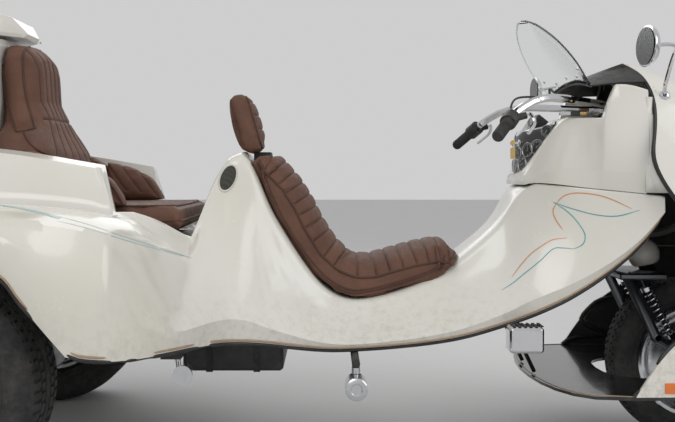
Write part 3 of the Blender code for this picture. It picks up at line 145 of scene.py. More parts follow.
def gelcoat(name, colour, dirt):
    """Aged glossy fibreglass: a faint ripple, warm and cool patches, road dirt low down."""
    shade = Shade(name, colour, 0.2, coat=0.35)
    patch = shade.remap(shade.noise(2.2, 3.0), 0.35, 0.7)
    base = shade.mix(patch, colour, tuple(c * s for c, s in zip(colour, (0.955, 0.94, 0.9))))
    low = shade.remap(shade.height(), 0.62, 0.3)
    speck = shade.remap(shade.noise(38.0, 8.0, 0.7), 0.47, 0.72)
    grime = shade.math("MULTIPLY", shade.math("MULTIPLY", low, speck), dirt)
    base = shade.mix(grime, base, (0.25, 0.2, 0.15))
    nick = shade.remap(shade.noise(150.0, 2.0), 0.74, 0.78, 0.0, dirt * 0.55)
    shade.link(shade.mix(nick, base, (0.3, 0.26, 0.2)), "Base Color")
    shade.link(shade.remap(shade.noise(9.0, 6.0), 0.3, 0.75, 0.15, 0.3), "Roughness")
    shade.bump(shade.noise(5.0, 2.0), 0.0009, 0.35)
    return shade.material


def leather(name, colour):
    """Grained cow hide: pebbled cells, lighter worn patches at random and dark sewn seams."""
    shade = Shade(name, colour, 0.55, specular=0.26)
    cells = shade.node("ShaderNodeTexVoronoi", {"Vector": shade.place, "Scale": 420.0},
                       feature="DISTANCE_TO_EDGE")
    grain = shade.remap(cells.outputs["Distance"], 0.0, 0.22)
    soft = shade.noise(60.0, 8.0, 0.65)
    wear = shade.remap(shade.noise(7.0, 6.0, 0.6), 0.38, 0.72)
    base = shade.mix(wear, shaded(colour, 0.8), shaded(colour, 1.22))
    base = shade.mix(shade.remap(grain, 0.0, 0.5, 0.35, 0.0), base, shaded(colour, 0.45))
    seam = shade.node("ShaderNodeAttribute", attribute_name="seam").outputs["Fac"]
    shade.link(shade.mix(seam, base, shaded(colour, 0.28)), "Base Color")
    shade.link(shade.remap(soft, 0.3, 0.7, 0.46, 0.68), "Roughness")
    tall = shade.math("ADD", shade.math("MULTIPLY", grain, 0.55), shade.math("MULTIPLY", soft, 0.9))
    shade.bump(tall, 0.0011, 0.6)
    return shade.material


def bright_metal(name, colour, roughness, smear=0.05):
    shade = Shade(name, colour, roughness, metallic=1.0)
    patch = shade.remap(shade.noise(14.0, 7.0), 0.3, 0.75, max(0.02, roughness - smear), roughness + smear)
    shade.link(patch, "Roughness")
    haze = shade.remap(shade.noise(55.0, 5.0), 0.52, 0.75, 0.0, 0.3)
    shade.link(shade.mix(haze, colour, shaded(colour, 0.72)), "Base Color")
    shade.bump(shade.noise(30.0, 3.0), 0.0003, 0.25)
    return shade.material


def cast_metal(name, colour):
    shade = Shade(name, colour, 0.55, metallic=0.85)
    oil = shade.remap(shade.noise(11.0, 8.0, 0.7), 0.42, 0.68)
    shade.link(shade.mix(oil, colour, shaded(colour, 0.3)), "Base Color")
    shade.link(shade.remap(oil, 0.0, 1.0, 0.42, 0.72), "Roughness")
    shade.bump(shade.noise(260.0, 4.0), 0.0008, 0.5)
    return shade.material


def dark_skin(name, colour, roughness, dust=0.25, grain=240.0, depth=0.0005, coat=0.0):
    """Black paint, plastic or rubber with dust in random patches."""
    shade = Shade(name, colour, roughness, coat=coat)
    film = shade.remap(shade.noise(9.0, 8.0, 0.68), 0.46, 0.78, 0.0, dust)
    shade.link(shade.mix(film, colour, (0.16, 0.145, 0.125)), "Base Color")
    shade.link(shade.remap(shade.noise(24.0, 5.0), 0.3, 0.7, roughness * 0.8, min(1.0, roughness * 1.25)),
               "Roughness")
    shade.bump(shade.noise(grain, 3.0), depth, 0.5)
    return shade.material


def tyre_rubber(name):
    shade = Shade(name, (0.022, 0.022, 0.023), 0.82)
    dust = shade.remap(shade.noise(17.0, 8.0, 0.7), 0.4, 0.75, 0.0, 0.55)
    shade.link(shade.mix(dust, (0.018, 0.018, 0.019), (0.085, 0.078, 0.068)), "Base Color")
    shade.link(shade.remap(shade.noise(60.0), 0.3, 0.7, 0.7, 0.95), "Roughness")
    shade.bump(shade.noise(180.0, 5.0), 0.0009, 0.6)
    return shade.material


def clear_sheet(name, tint, roughness=0.02):
    shade = Shade(name, tint, roughness)
    shade.set("Transmission Weight", 1.0)
    shade.set("IOR", 1.2)
    smear = shade.remap(shade.noise(6.0, 6.0), 0.4, 0.8, roughness, roughness + 0.06)
    shade.link(smear, "Roughness")
    return shade.material


def lens(name, colour, ribs=420.0, see_through=0.55):
    shade = Shade(name, colour, 0.1, coat=0.6)
    shade.set("Transmission Weight", see_through)
    wave = shade.node("ShaderNodeTexWave", {"Vector": shade.place, "Scale": ribs / 6.0}, bands_direction="Y")
    shade.bump(wave.outputs["Fac"], 0.001, 0.5)
    tone = shade.remap(shade.noise(30.0), 0.3, 0.7)
    shade.link(shade.mix(tone, shaded(colour, 0.85), colour), "Base Color")
    return shade.material


def thin_paint(name, colour):
    shade = Shade(name, colour, 0.3, coat=0.2)
    worn = shade.remap(shade.noise(70.0, 6.0), 0.5, 0.8, 0.0, 0.3)
    shade.link(shade.mix(worn, colour, (0.55, 0.53, 0.48)), "Base Color")
    return shade.material


def mesh_cloth(name, colour):
    """A woven wire or cloth grille: crossing threads over black."""
    shade = Shade(name, colour, 0.55)
    waves = []
    for direction in ("Y", "Z"):
        wave = shade.node("ShaderNodeTexWave", {"Vector": shade.place, "Scale": 95.0},
                          bands_direction=direction)
        waves.append(wave.outputs["Fac"])
    weave = shade.math("MULTIPLY", waves[0], waves[1])
    shade.link(shade.mix(weave, shaded(colour, 0.25), colour), "Base Color")
    shade.bump(weave, 0.0012, 0.8)
    return shade.material


FINISH = {}


def mix_finishes(seats, body):
    cream = tuple(body.cream)
    FINISH["cream"] = gelcoat("Cream gelcoat", cream, body.dirt)
    FINISH["leather"] = leather("Brown leather", tuple(seats.leather))
    FINISH["piping"] = leather("Leather piping", shaded(tuple(seats.leather), 0.62))
    FINISH["chrome"] = bright_metal("Chrome", (0.66, 0.66, 0.68), 0.08)
    FINISH["alloy"] = bright_metal("Polished alloy", (0.6, 0.61, 0.63), 0.24, 0.1)
    FINISH["brass"] = bright_metal("Brass", (0.7, 0.5, 0.2), 0.25, 0.1)
    FINISH["cast"] = cast_metal("Cast engine alloy", (0.3, 0.3, 0.31))
    FINISH["frame"] = dark_skin("Frame paint", (0.014, 0.014, 0.015), 0.4, 0.35)
    FINISH["gloss_black"] = dark_skin("Black gloss", (0.01, 0.01, 0.011), 0.14, 0.12, 60.0, 0.0002, 0.5)
    FINISH["tray"] = dark_skin("Tray black", (0.011, 0.011, 0.012), 0.16, 0.4, 60.0, 0.0002, 0.4)
    FINISH["plastic"] = dark_skin("Black plastic", (0.016, 0.016, 0.017), 0.5, 0.3, 600.0, 0.0004)
    FINISH["rubber"] = dark_skin("Rubber", (0.018, 0.018, 0.019), 0.7, 0.3, 300.0, 0.0005)
    FINISH["trunk_lining"] = dark_skin("Trunk lining", (0.03, 0.03, 0.032), 0.9, 0.4, 900.0, 0.001)
    FINISH["tyre"] = tyre_rubber("Tyre rubber")
    FINISH["screen"] = clear_sheet("Screen acrylic", (0.97, 0.985, 0.98))
    FINISH["glass"] = clear_sheet("Gauge glass", (0.95, 0.96, 0.96))
    FINISH["screen_edge"] = clear_sheet("Screen edge", (0.8, 0.86, 0.84), 0.15)
    FINISH["glass_dark"] = dark_skin("Display glass", (0.006, 0.008, 0.01), 0.05, 0.05, 20.0, 0.0001, 0.6)
    FINISH["lamp"] = lens("Lamp lens", (0.9, 0.92, 0.93))
    FINISH["red"] = lens("Red lens", (0.5, 0.012, 0.01), see_through=0.2)
    FINISH["amber"] = lens("Amber lens", (0.85, 0.2, 0.02), see_through=0.15)
    FINISH["fork"] = bright_metal("Fork", (0.16, 0.17, 0.18), 0.34)
    # Mirror glass as black paint with no silvering: a painted dark reflection
    FINISH["mirror"] = dark_skin("Mirror glass", (0.006, 0.007, 0.008), 0.25, 0.02, 20.0, 0.0001, 0.0)
    FINISH["teal"] = thin_paint("Teal line", (0.06, 0.33, 0.36))
    FINISH["pale_teal"] = thin_paint("Pale teal band", (0.36, 0.52, 0.52))
    FINISH["orange"] = thin_paint("Orange line", (0.62, 0.22, 0.05))
    FINISH["tan"] = thin_paint("Tan line", (0.36, 0.25, 0.16))
    FINISH["black_line"] = dark_skin("Black line", (0.012, 0.011, 0.011), 0.35, 0.2)
    FINISH["white"] = thin_paint("Dial white", (0.75, 0.75, 0.72))
    FINISH["grille"] = mesh_cloth("Speaker grille", (0.085, 0.082, 0.06))
    FINISH["steel"] = bright_metal("Zinc steel", (0.45, 0.45, 0.46), 0.35, 0.1)


# Making pieces
def settle(name, mesh, finish, body, smooth=True, sharp=38.0):
    """A finished piece: its mesh in place, one finish, riding on a body."""
    piece = bpy.data.objects.new(name, mesh)
    bpy.context.scene.collection.objects.link(piece)
    mesh.materials.clear()
    mesh.materials.append(FINISH[finish])
    if smooth:
        mesh.shade_smooth()
        mesh.set_sharp_from_angle(angle=math.radians(sharp))
    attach(piece, body)
    return piece


def from_bm(name, bm, finish, body, turn_out=True, **rest):
    bmesh.ops.remove_doubles(bm, verts=bm.verts, dist=1e-6)
    if turn_out:
        bmesh.ops.recalc_face_normals(bm, faces=bm.faces)
    mesh = bpy.data.meshes.new(name)
    bm.to_mesh(mesh)
    bm.free()
    return settle(name, mesh, finish, body, **rest)


def subdivided(piece, levels=1):
    step = piece.modifiers.new("Subdivision", "SUBSURF")
    step.levels = step.render_levels = levels
    return piece


def rounded(piece, width, segments=2):
    step = piece.modifiers.new("Bevel", "BEVEL")
    step.width = width
    step.segments = segments
    step.limit_method = "ANGLE"
    step.angle_limit = math.radians(35)
    step.harden_normals = True
    return piece


def evaluated_mesh(piece):
    bpy.context.view_layer.update()
    shown = piece.evaluated_get(bpy.context.evaluated_depsgraph_get())
    return bpy.data.meshes.new_from_object(shown)


def settled(piece):
    """The modifiers' result becomes the mesh."""
    mesh = evaluated_mesh(piece)
    finish = piece.data.materials[0]
    piece.modifiers.clear()
    piece.data = mesh
    mesh.materials.clear()
    mesh.materials.append(finish)
    return piece


def node_bm(node):
    """A merged copy of a CAD node's mesh, its triangles joined where they make a flat quad."""
    bm = bmesh.new()
    bm.from_mesh(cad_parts[node].data)
    bmesh.ops.remove_doubles(bm, verts=bm.verts, dist=2e-5)
    bmesh.ops.join_triangles(
        bm, faces=bm.faces, angle_face_threshold=math.radians(30), angle_shape_threshold=math.radians(40)
    )
    return bm


def dress(node, finish, body="trike", levels=1, sharp=32.0, name=None):
    """A smooth-shaded copy of a CAD node, with its edges kept crisp, which stands for the node."""
    bm = node_bm(node)
    crease = bm.edges.layers.float.new("crease_edge")
    for edge in bm.edges:
        if len(edge.link_faces) != 2 or edge.calc_face_angle(0.0) > math.radians(sharp):
            edge[crease] = 1.0
    piece = from_bm(name or node, bm, finish, body, turn_out=False, sharp=sharp)
    if levels:
        subdivided(piece, levels)
    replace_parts(piece, node)
    return piece


def cylinder(bm, start, end, radius, sides=24, end_radius=None):
    start, end = Vector(start), Vector(end)
    along = end - start
    made = bmesh.ops.create_cone(
        bm,
        cap_ends=True,
        segments=sides,
        radius1=radius,
        radius2=radius if end_radius is None else end_radius,
        depth=along.length,
    )
    turn = along.to_track_quat("Z", "Y").to_matrix().to_4x4()
    bmesh.ops.transform(bm, matrix=Matrix.Translation((start + end) / 2) @ turn, verts=made["verts"])
    return made["verts"]


def block(bm, low, high):
    made = bmesh.ops.create_cube(bm, size=1.0)
    size = [b - a for a, b in zip(low, high)]
    centre = [(a + b) / 2 for a, b in zip(low, high)]
    bmesh.ops.scale(bm, vec=size, verts=made["verts"])
    bmesh.ops.translate(bm, vec=centre, verts=made["verts"])
    return made["verts"]


def turned(bm, profile, centre, axis, steps=48):
    """A profile of (radius, offset) points spun once round an axis."""
    axis = Vector(axis).normalized()
    out = axis.orthogonal().normalized()
    chain = [bm.verts.new(Vector(centre) + out * r + axis * off) for r, off in profile]
    edges = [bm.edges.new(pair) for pair in zip(chain, chain[1:])]
    return bmesh.ops.spin(
        bm,
        geom=chain + edges,
        cent=centre,
        axis=axis,
        angle=math.tau,
        steps=steps,
        use_merge=True,
        use_duplicate=False,
    )


def round_screw(bm, place, facing, radius, tall=None):
    """A low domed screw head with a cross-wise rim."""
    facing = Vector(facing).normalized()
    tall = tall or radius * 0.5
    place = Vector(place)
    profile = [(radius, 0.0), (radius, tall * 0.4), (radius * 0.75, tall * 0.8), (radius * 0.35, tall),
               (0.0, tall)]
    turned(bm, profile, place, facing, 14)


def tube(name, points, radius, finish, body, closed=False, sides=3, steps=6, smooth_path=True):
    """A round bar, wire or bead along a path."""
    curve = bpy.data.curves.new(name, "CURVE")
    curve.dimensions = "3D"
    spline = curve.splines.new("NURBS" if smooth_path else "POLY")
    spline.points.add(len(points) - 1)
    for target, point in zip(spline.points, points):
        target.co = (*point, 1.0)
    spline.use_cyclic_u = closed
    spline.use_endpoint_u = not closed
    spline.order_u = 3
    spline.resolution_u = steps
    curve.bevel_depth = radius
    curve.bevel_resolution = sides
    curve.use_fill_caps = not closed
    thing = bpy.data.objects.new(name + " path", curve)
    bpy.context.scene.collection.objects.link(thing)
    mesh = evaluated_mesh(thing)
    bpy.data.objects.remove(thing)
    bm = bmesh.new()
    bm.from_mesh(mesh)
    bpy.data.meshes.remove(mesh)
    return from_bm(name, bm, finish, body, sharp=60.0)


def surface_of(*pieces):
    """One search tree over the finished meshes of these pieces."""
    joined = bmesh.new()
    for piece in pieces:
        mesh = evaluated_mesh(piece)
        joined.from_mesh(mesh)
        bpy.data.meshes.remove(mesh)
    tree = BVHTree.FromBMesh(joined)
    joined.free()
    return tree


def photo_ray(pixel):
    across = (pixel[0] - HORIZON[0]) / PIXELS_PER_UNIT
    down = (pixel[1] - HORIZON[1]) / PIXELS_PER_UNIT
    return Vector((across, 1.0, -down)).normalized()


def seen_at(tree, pixel):
    """Where the photograph's view line through a pixel meets a surface: (point, normal)."""
    place, normal, _, _ = tree.ray_cast(CAMERA_AT, photo_ray(pixel))
    return (place, normal) if place else None


def rounded_path(pixels, per_step):
    """More points along a path of pixels, on a smooth line through them."""
    out = []
    last = len(pixels) - 1
    for i in range(last):
        a, b, c, d = (Vector(pixels[max(0, min(last, k))]) for k in (i - 1, i, i + 1, i + 2))
        for n in range(per_step):
            t = n / per_step
            lead = (c - a) * t + (2 * a - 5 * b + 4 * c - d) * t**2
            out.append(0.5 * (2 * b + lead + (3 * b - a - 3 * c + d) * t**3))
    return out + [Vector(pixels[-1])]


def drawn_line(name, tree, pixels, width, finish, body="trike", lift=0.0006, both_sides=True, ends=0.35):
    """A painted line that lies on a surface where the photograph shows it, and its mirror image."""
    hits = [hit for hit in (seen_at(tree, p) for p in rounded_path(pixels, 8)) if hit]
    bm = bmesh.new()
    count = len(hits)
    for i, (place, normal) in enumerate(hits):
        ahead = hits[min(count - 1, i + 1)][0] - hits[max(0, i - 1)][0]
        across = ahead.cross(normal).normalized()
        taper = min(1.0, ends + 4.0 * min(i, count - 1 - i) / count)
        half = width * 0.5 * taper
        place = place + normal * lift
        pair = [bm.verts.new(place - across * half), bm.verts.new(place + across * half)]
        bm.edges.new(pair)
    bm.edges.ensure_lookup_table()
    rungs = list(bm.edges)
    for a, b in zip(rungs, rungs[1:]):
        bmesh.ops.bridge_loops(bm, edges=[a, b])
    if both_sides:
        bmesh.ops.mirror(bm, geom=bm.verts[:] + bm.edges[:] + bm.faces[:], axis="Y", merge_dist=-1.0)
    for face in bm.faces:
        centre = face.calc_center_median()
        if face.normal.y * centre.y < 0:
            face.normal_flip()
    return from_bm(name, bm, finish, body, turn_out=False)


def slid(tree, points, lift=0.0):
    """Points moved to the nearest place on a surface, then outwards."""
    out = []
    for point in points:
        place, normal, _, _ = tree.find_nearest(Vector(point))
        out.append(place + normal * lift)
    return out


def sewn_line(name, tree, pixels, radius, sides=(-1, 1), finish="piping"):
    """A piping bead on a pad, where the photograph shows it, and its mirror image on the other side."""
    hits = [hit for hit in (seen_at(tree, p) for p in rounded_path(pixels, 4)) if hit]
    if len(hits) < 4:
        raise RuntimeError(f"{name} misses its pad")
    for side in sides:
        path = [Vector((place.x, -side * place.y, place.z)) for place, normal in hits]
        path = slid(tree, path, radius * 0.15)
        tube(f"{name}_{'left' if side > 0 else 'right'}", path, radius, finish, "trike", steps=2)


# What a user may change
class TrikeBodySettings(bpy.types.PropertyGroup):
    cream: FloatVectorProperty(
        name="Body colour",
        description="Colour of the fibreglass",
        default=(0.7, 0.685, 0.635),
        subtype="COLOR",
    )
    dirt: FloatProperty(name="Dirt", description="Road dirt and chips low down", default=0.5, min=0.0,
                        max=1.0)
    bead: FloatProperty(
        name="Hem bead", description="Radius of the rubber bead on the hem", default=0.0055, unit="LENGTH"
    )
    band: FloatProperty(name="Hem band", description="Height of the tan band on the hem", default=0.011,
                        unit="LENGTH")
    edge: FloatProperty(name="Nose edge", description="Radius of the nose's edge beads", default=0.009,
                        unit="LENGTH")
    line: FloatProperty(name="Pinstripe", description="Width of the pinstripes", default=0.0042,
                        unit="LENGTH")


class TrikeSeatSettings(bpy.types.PropertyGroup):
    leather: FloatVectorProperty(
        name="Leather", description="Colour of the hide", default=(0.148, 0.072, 0.048), subtype="COLOR"
    )
    pitch: FloatProperty(name="Flute pitch", description="Width of one sewn flute", default=0.047,
                         unit="LENGTH")
    depth: FloatProperty(name="Flute depth", description="Depth of the sewn seams", default=0.006,
                         unit="LENGTH")
    puff: FloatProperty(name="Puff", description="How far the filling may push the cover", default=0.012,
                        unit="LENGTH")
    voxel: FloatProperty(name="Cloth cell", description="Cell of the cloth that is filled", default=0.0075,
                         unit="LENGTH")
    piping: FloatProperty(name="Piping", description="Radius of the piping", default=0.0042, unit="LENGTH")


class TrikeWheelSettings(bpy.types.PropertyGroup):
    lugs: IntProperty(name="Tread blocks", description="Blocks round each tyre", default=72, min=12, max=120)
    groove: FloatProperty(name="Tread depth", description="Depth of the tread", default=0.006, unit="LENGTH")
    nuts: IntProperty(name="Wheel bolts", description="Bolts on each rear wheel", default=5, min=3, max=8)


class TrikeStageSettings(bpy.types.PropertyGroup):
    floor: FloatProperty(name="Floor size", description="Width of the floor", default=60.0, unit="LENGTH")
    key: FloatProperty(name="Key light", description="Power of the main soft light", default=138.0,
                       unit="POWER")
    fill: FloatProperty(name="Fill light", description="Power of the softer light", default=80.0,
                        unit="POWER")
    world: FloatProperty(name="Sky", description="Strength of the even light", default=0.62)


# Padded leather
PAD_FRAMES = 20
PRESSURE = 4.0
SEAT_BASE_LINE = [(257.5, 162), (266, 188), (280, 219), (296, 246), (312, 267), (328, 282.5), (345, 291),
                  (361, 292)]
SEAT_BASE_LINE += [(393, 285), (424, 274.5), (444, 265), (454, 258)]
HEADREST_FRONT_LINE = [(246, 97), (249, 104), (252, 115), (256, 128), (259, 139), (262, 148)]
HEADREST_BACK_LINE = [(231, 100), (234, 112), (237, 124), (240, 135), (244, 145)]
RIDER_TOP = [(-0.272, 1.0), (-0.235, 1.028), (-0.19, 1.022), (-0.157, 0.995), (-0.1, 0.929), (-0.057, 0.861)]
RIDER_TOP += [(-0.022, 0.79), (0.025, 0.717), (0.08, 0.664), (0.14, 0.66), (0.196, 0.675), (0.296, 0.703)]
RIDER_TOP += [(0.375, 0.719), (0.43, 0.71), (0.467, 0.682), (0.477, 0.65)]


def filled_pad(node, settings, levels=1, crown=None, form=None):
    """A CAD cushion's form as a cloth cover, filled by pressure and settled, ready to be sewn.

    crown(place) gives the place that the cutter's pattern draws a point of the plain form in to.
    form is a bmesh for a pad that has no solid of its own."""
    bm = form or node_bm(node)
    mesh = bpy.data.meshes.new(node)
    bm.to_mesh(mesh)
    bm.free()
    pad = settle(node, mesh, "leather", "trike")
    step = pad.modifiers.new("Cells", "REMESH")
    step.mode = "VOXEL"
    step.voxel_size = settings.voxel
    settled(pad)
    bm = bmesh.new()
    bm.from_mesh(pad.data)
    for _ in range(2):
        bmesh.ops.smooth_vert(bm, verts=bm.verts, factor=0.5, use_axis_x=True, use_axis_y=True,
                              use_axis_z=True)
    for vert in bm.verts if crown else ():
        vert.co = crown(vert.co)
    bm.normal_update()
    inset = settings.puff * 0.5
    moved = [vert.co - vert.normal * inset for vert in bm.verts]
    for vert, place in zip(bm.verts, moved):
        vert.co = place
    bm.to_mesh(pad.data)
    bm.free()
    inflate(pad, settings.puff)
    if levels:
        settled(subdivided(pad, levels))
    pad.data.shade_smooth()
    if not form:
        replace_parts(pad, node)
    return pad


def inflate(pad, cap):
    start = [vert.co.copy() for vert in pad.data.vertices]
    cloth = pad.modifiers.new("Cloth", "CLOTH")
    cloth.settings.quality = 4
    cloth.settings.use_pressure = True
    cloth.settings.uniform_pressure_force = PRESSURE
    cloth.settings.effector_weights.gravity = 0.0
    cloth.point_cache.frame_start = 1
    cloth.point_cache.frame_end = PAD_FRAMES
    scene = bpy.context.scene
    for number in range(1, PAD_FRAMES + 1):
        scene.frame_set(number)
    blown = evaluated_mesh(pad)
    pad.modifiers.clear()
    for vert, was, now in zip(pad.data.vertices, start, blown.vertices):
        move = now.co - was
        vert.co = was + (move if move.length < cap else move * (cap / move.length))
    scene.frame_set(1)


def sew(pad, flute, depth, width=0.0045):
    """Presses sewn seams into a pad.

    flute(place, normal) gives (metres to the nearest seam, half pitch, share)."""
    mesh = pad.data
    seam = mesh.attributes.new("seam", "FLOAT", "POINT")
    normals = [vert.normal.copy() for vert in mesh.vertices]
    for vert, normal, mark in zip(mesh.vertices, normals, seam.data):
        found = flute(vert.co, normal)
        if not found:
            continue
        away, half, share = found
        roll = 1.0 - math.sqrt(max(0.0, 1.0 - (1.0 - min(1.0, away / half)) ** 2))
        cut = math.exp(-((away / width) ** 2))
        vert.co -= normal * depth * share * (0.75 * roll + 0.45 * cut)
        mark.value = share * math.exp(-((away / (width * 0.42)) ** 2))
    mesh.update()
    return pad


def along_path(path, x, z):
    """(arc length, distance, direction) of the nearest place on a side-view path."""
    best = (1e9, 0.0, None)
    run = 0.0
    for (ax, az), (bx, bz) in zip(path, path[1:]):
        dx, dz = bx - ax, bz - az
        size = math.hypot(dx, dz)
        t = max(0.0, min(1.0, ((x - ax) * dx + (z - az) * dz) / size**2))
        away = math.hypot(x - ax - dx * t, z - az - dz * t)
        if away < best[0]:
            best = (away, run + t * size, (dx / size, dz / size))
        run += size
    return best[1], best[0], best[2]


def path_point(path, run):
    for (ax, az), (bx, bz) in zip(path, path[1:]):
        size = math.hypot(bx - ax, bz - az)
        if run <= size:
            return ax + (bx - ax) * run / size, az + (bz - az) * run / size
        run -= size
    return path[-1]


def seam_distance(value, pitch):
    return abs(value / pitch - round(value / pitch)) * pitch


class TRIKE_OT_rider_seat(bpy.types.Operator):
    """Builds the rider's seat with its cross flutes and piping, and the headrest on the hump"""

    bl_idname = "trike.rider_seat"
    bl_label = "Rider seat"

    first_seam = 0.05
    last_run = 1.28
    half = 0.2
    edge_drop = 0.058
    thick = 0.11

    def crown(self, place):
        """The top falls from the middle to its piped edges, and the side band below keeps its place."""
        run, away, direction = along_path(RIDER_TOP, place.x, place.z)
        ends = max(0.0, min(1.0, run / 0.1, (1.33 - run) / 0.12))
        drop = self.edge_drop * min(1.0, abs(place.y) / self.half) ** 2.4 * ends
        move = drop * max(0.0, 1.0 - away / self.thick)
        return Vector((place.x + direction[1] * move, place.y, place.z - direction[0] * move))

    def execute(self, context):
        settings = context.scene.trike_seat
        pad = filled_pad("rider_seat", settings, crown=self.crown)

        def cross_flutes(place, normal):
            run, away, direction = along_path(RIDER_TOP, place.x, place.z)
            side = abs(place.y) / self.half
            if away > self.edge_drop * side**2.4 + 0.02 or side > 0.97:
                return None
            if not self.first_seam - 0.03 < run < self.last_run:
                return None
            facing = -direction[1] * normal.x + direction[0] * normal.z
            if facing < 0.3:
                return None
            share = min(1.0, max(0.0, (0.97 - side) / 0.06)) * min(1.0, (facing - 0.3) / 0.3)
            return seam_distance(run - self.first_seam, settings.pitch), settings.pitch / 2, share

        sew(pad, cross_flutes, settings.depth)
        tree = surface_of(pad)
        total, steps = 1.31, 60
        for side, tag in SIDES:
            edge = []
            for i in range(steps + 1):
                x, z = path_point(RIDER_TOP, 0.03 + (total - 0.05) * i / steps)
                run, _, (dx, dz) = along_path(RIDER_TOP, x, z)
                drop = self.edge_drop * max(0.0, min(1.0, run / 0.1, (total + 0.02 - run) / 0.12))
                edge.append((x + dz * drop, side * 0.199, z - dx * drop))
            tube("rider_seat_piping_" + tag, slid(tree, edge, 0.0005), settings.piping, "piping", "trike",
                 steps=2)
        sewn_line("rider_seat_base_piping", tree, SEAT_BASE_LINE, settings.piping)
        sewn_line("rider_seat_low_piping", tree, [(x + 2.6, y - 2.2) for x, y in SEAT_BASE_LINE],
                  settings.piping * 0.6)
        low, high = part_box("rider_headrest")
        tall = high.z - low.z

        def head_share(place):
            """How far forward a point lies in the headrest's depth, which leans with its height."""
            level = (place.z - low.z) / tall
            middle = -0.262 - 0.036 * (level - 0.5) * 2.0
            return (place.x - middle) / 0.09 + 0.5

        def head_crown(place):
            share = head_share(place)
            drop = 0.034 * (abs(place.y) / 0.11) ** 2.2 * max(0.0, min(1.0, (share - 0.45) / 0.5))
            return Vector((place.x - drop, place.y, place.z))

        head = filled_pad("rider_headrest", settings, crown=head_crown)

        def head_flutes(place, normal):
            forward = head_share(place)
            if normal.x < 0.1 or forward < 0.62:
                return None
            share = min(1.0, (forward - 0.62) / 0.1) * min(1.0, (normal.x - 0.1) / 0.2)
            pitch = tall / 4.6
            return seam_distance(place.z - low.z, pitch), pitch / 2, share

        sew(head, head_flutes, settings.depth * 0.9)
        tree = surface_of(head)
        sewn_line("headrest_piping", tree, HEADREST_FRONT_LINE, settings.piping * 0.9)
        sewn_line("headrest_back_piping", tree, HEADREST_BACK_LINE, settings.piping * 0.8)
        bm = bmesh.new()
        block(bm, (-0.262, -0.035, low.z - 0.03), (-0.2, 0.035, low.z + 0.012))
        rounded(from_bm("headrest_bracket", bm, "plastic", "trike"), 0.004)
        return {"FINISHED"}


BACKREST_LINES = {
    "backrest_band_piping": [(33, 46), (26, 49), (23, 56), (23, 70), (25, 90), (29, 108), (33, 121),
                             (35, 128)],
    "backrest_rear_piping": [(12, 42), (6, 47), (4, 56), (4, 74), (6, 96), (10, 112), (14, 126), (17, 132)],
    "backrest_band_end": [(17, 132), (24, 131), (35, 128)],
    "backrest_wing_piping": [(24, 133), (28, 141), (36, 149), (46, 154), (58, 157)],
}


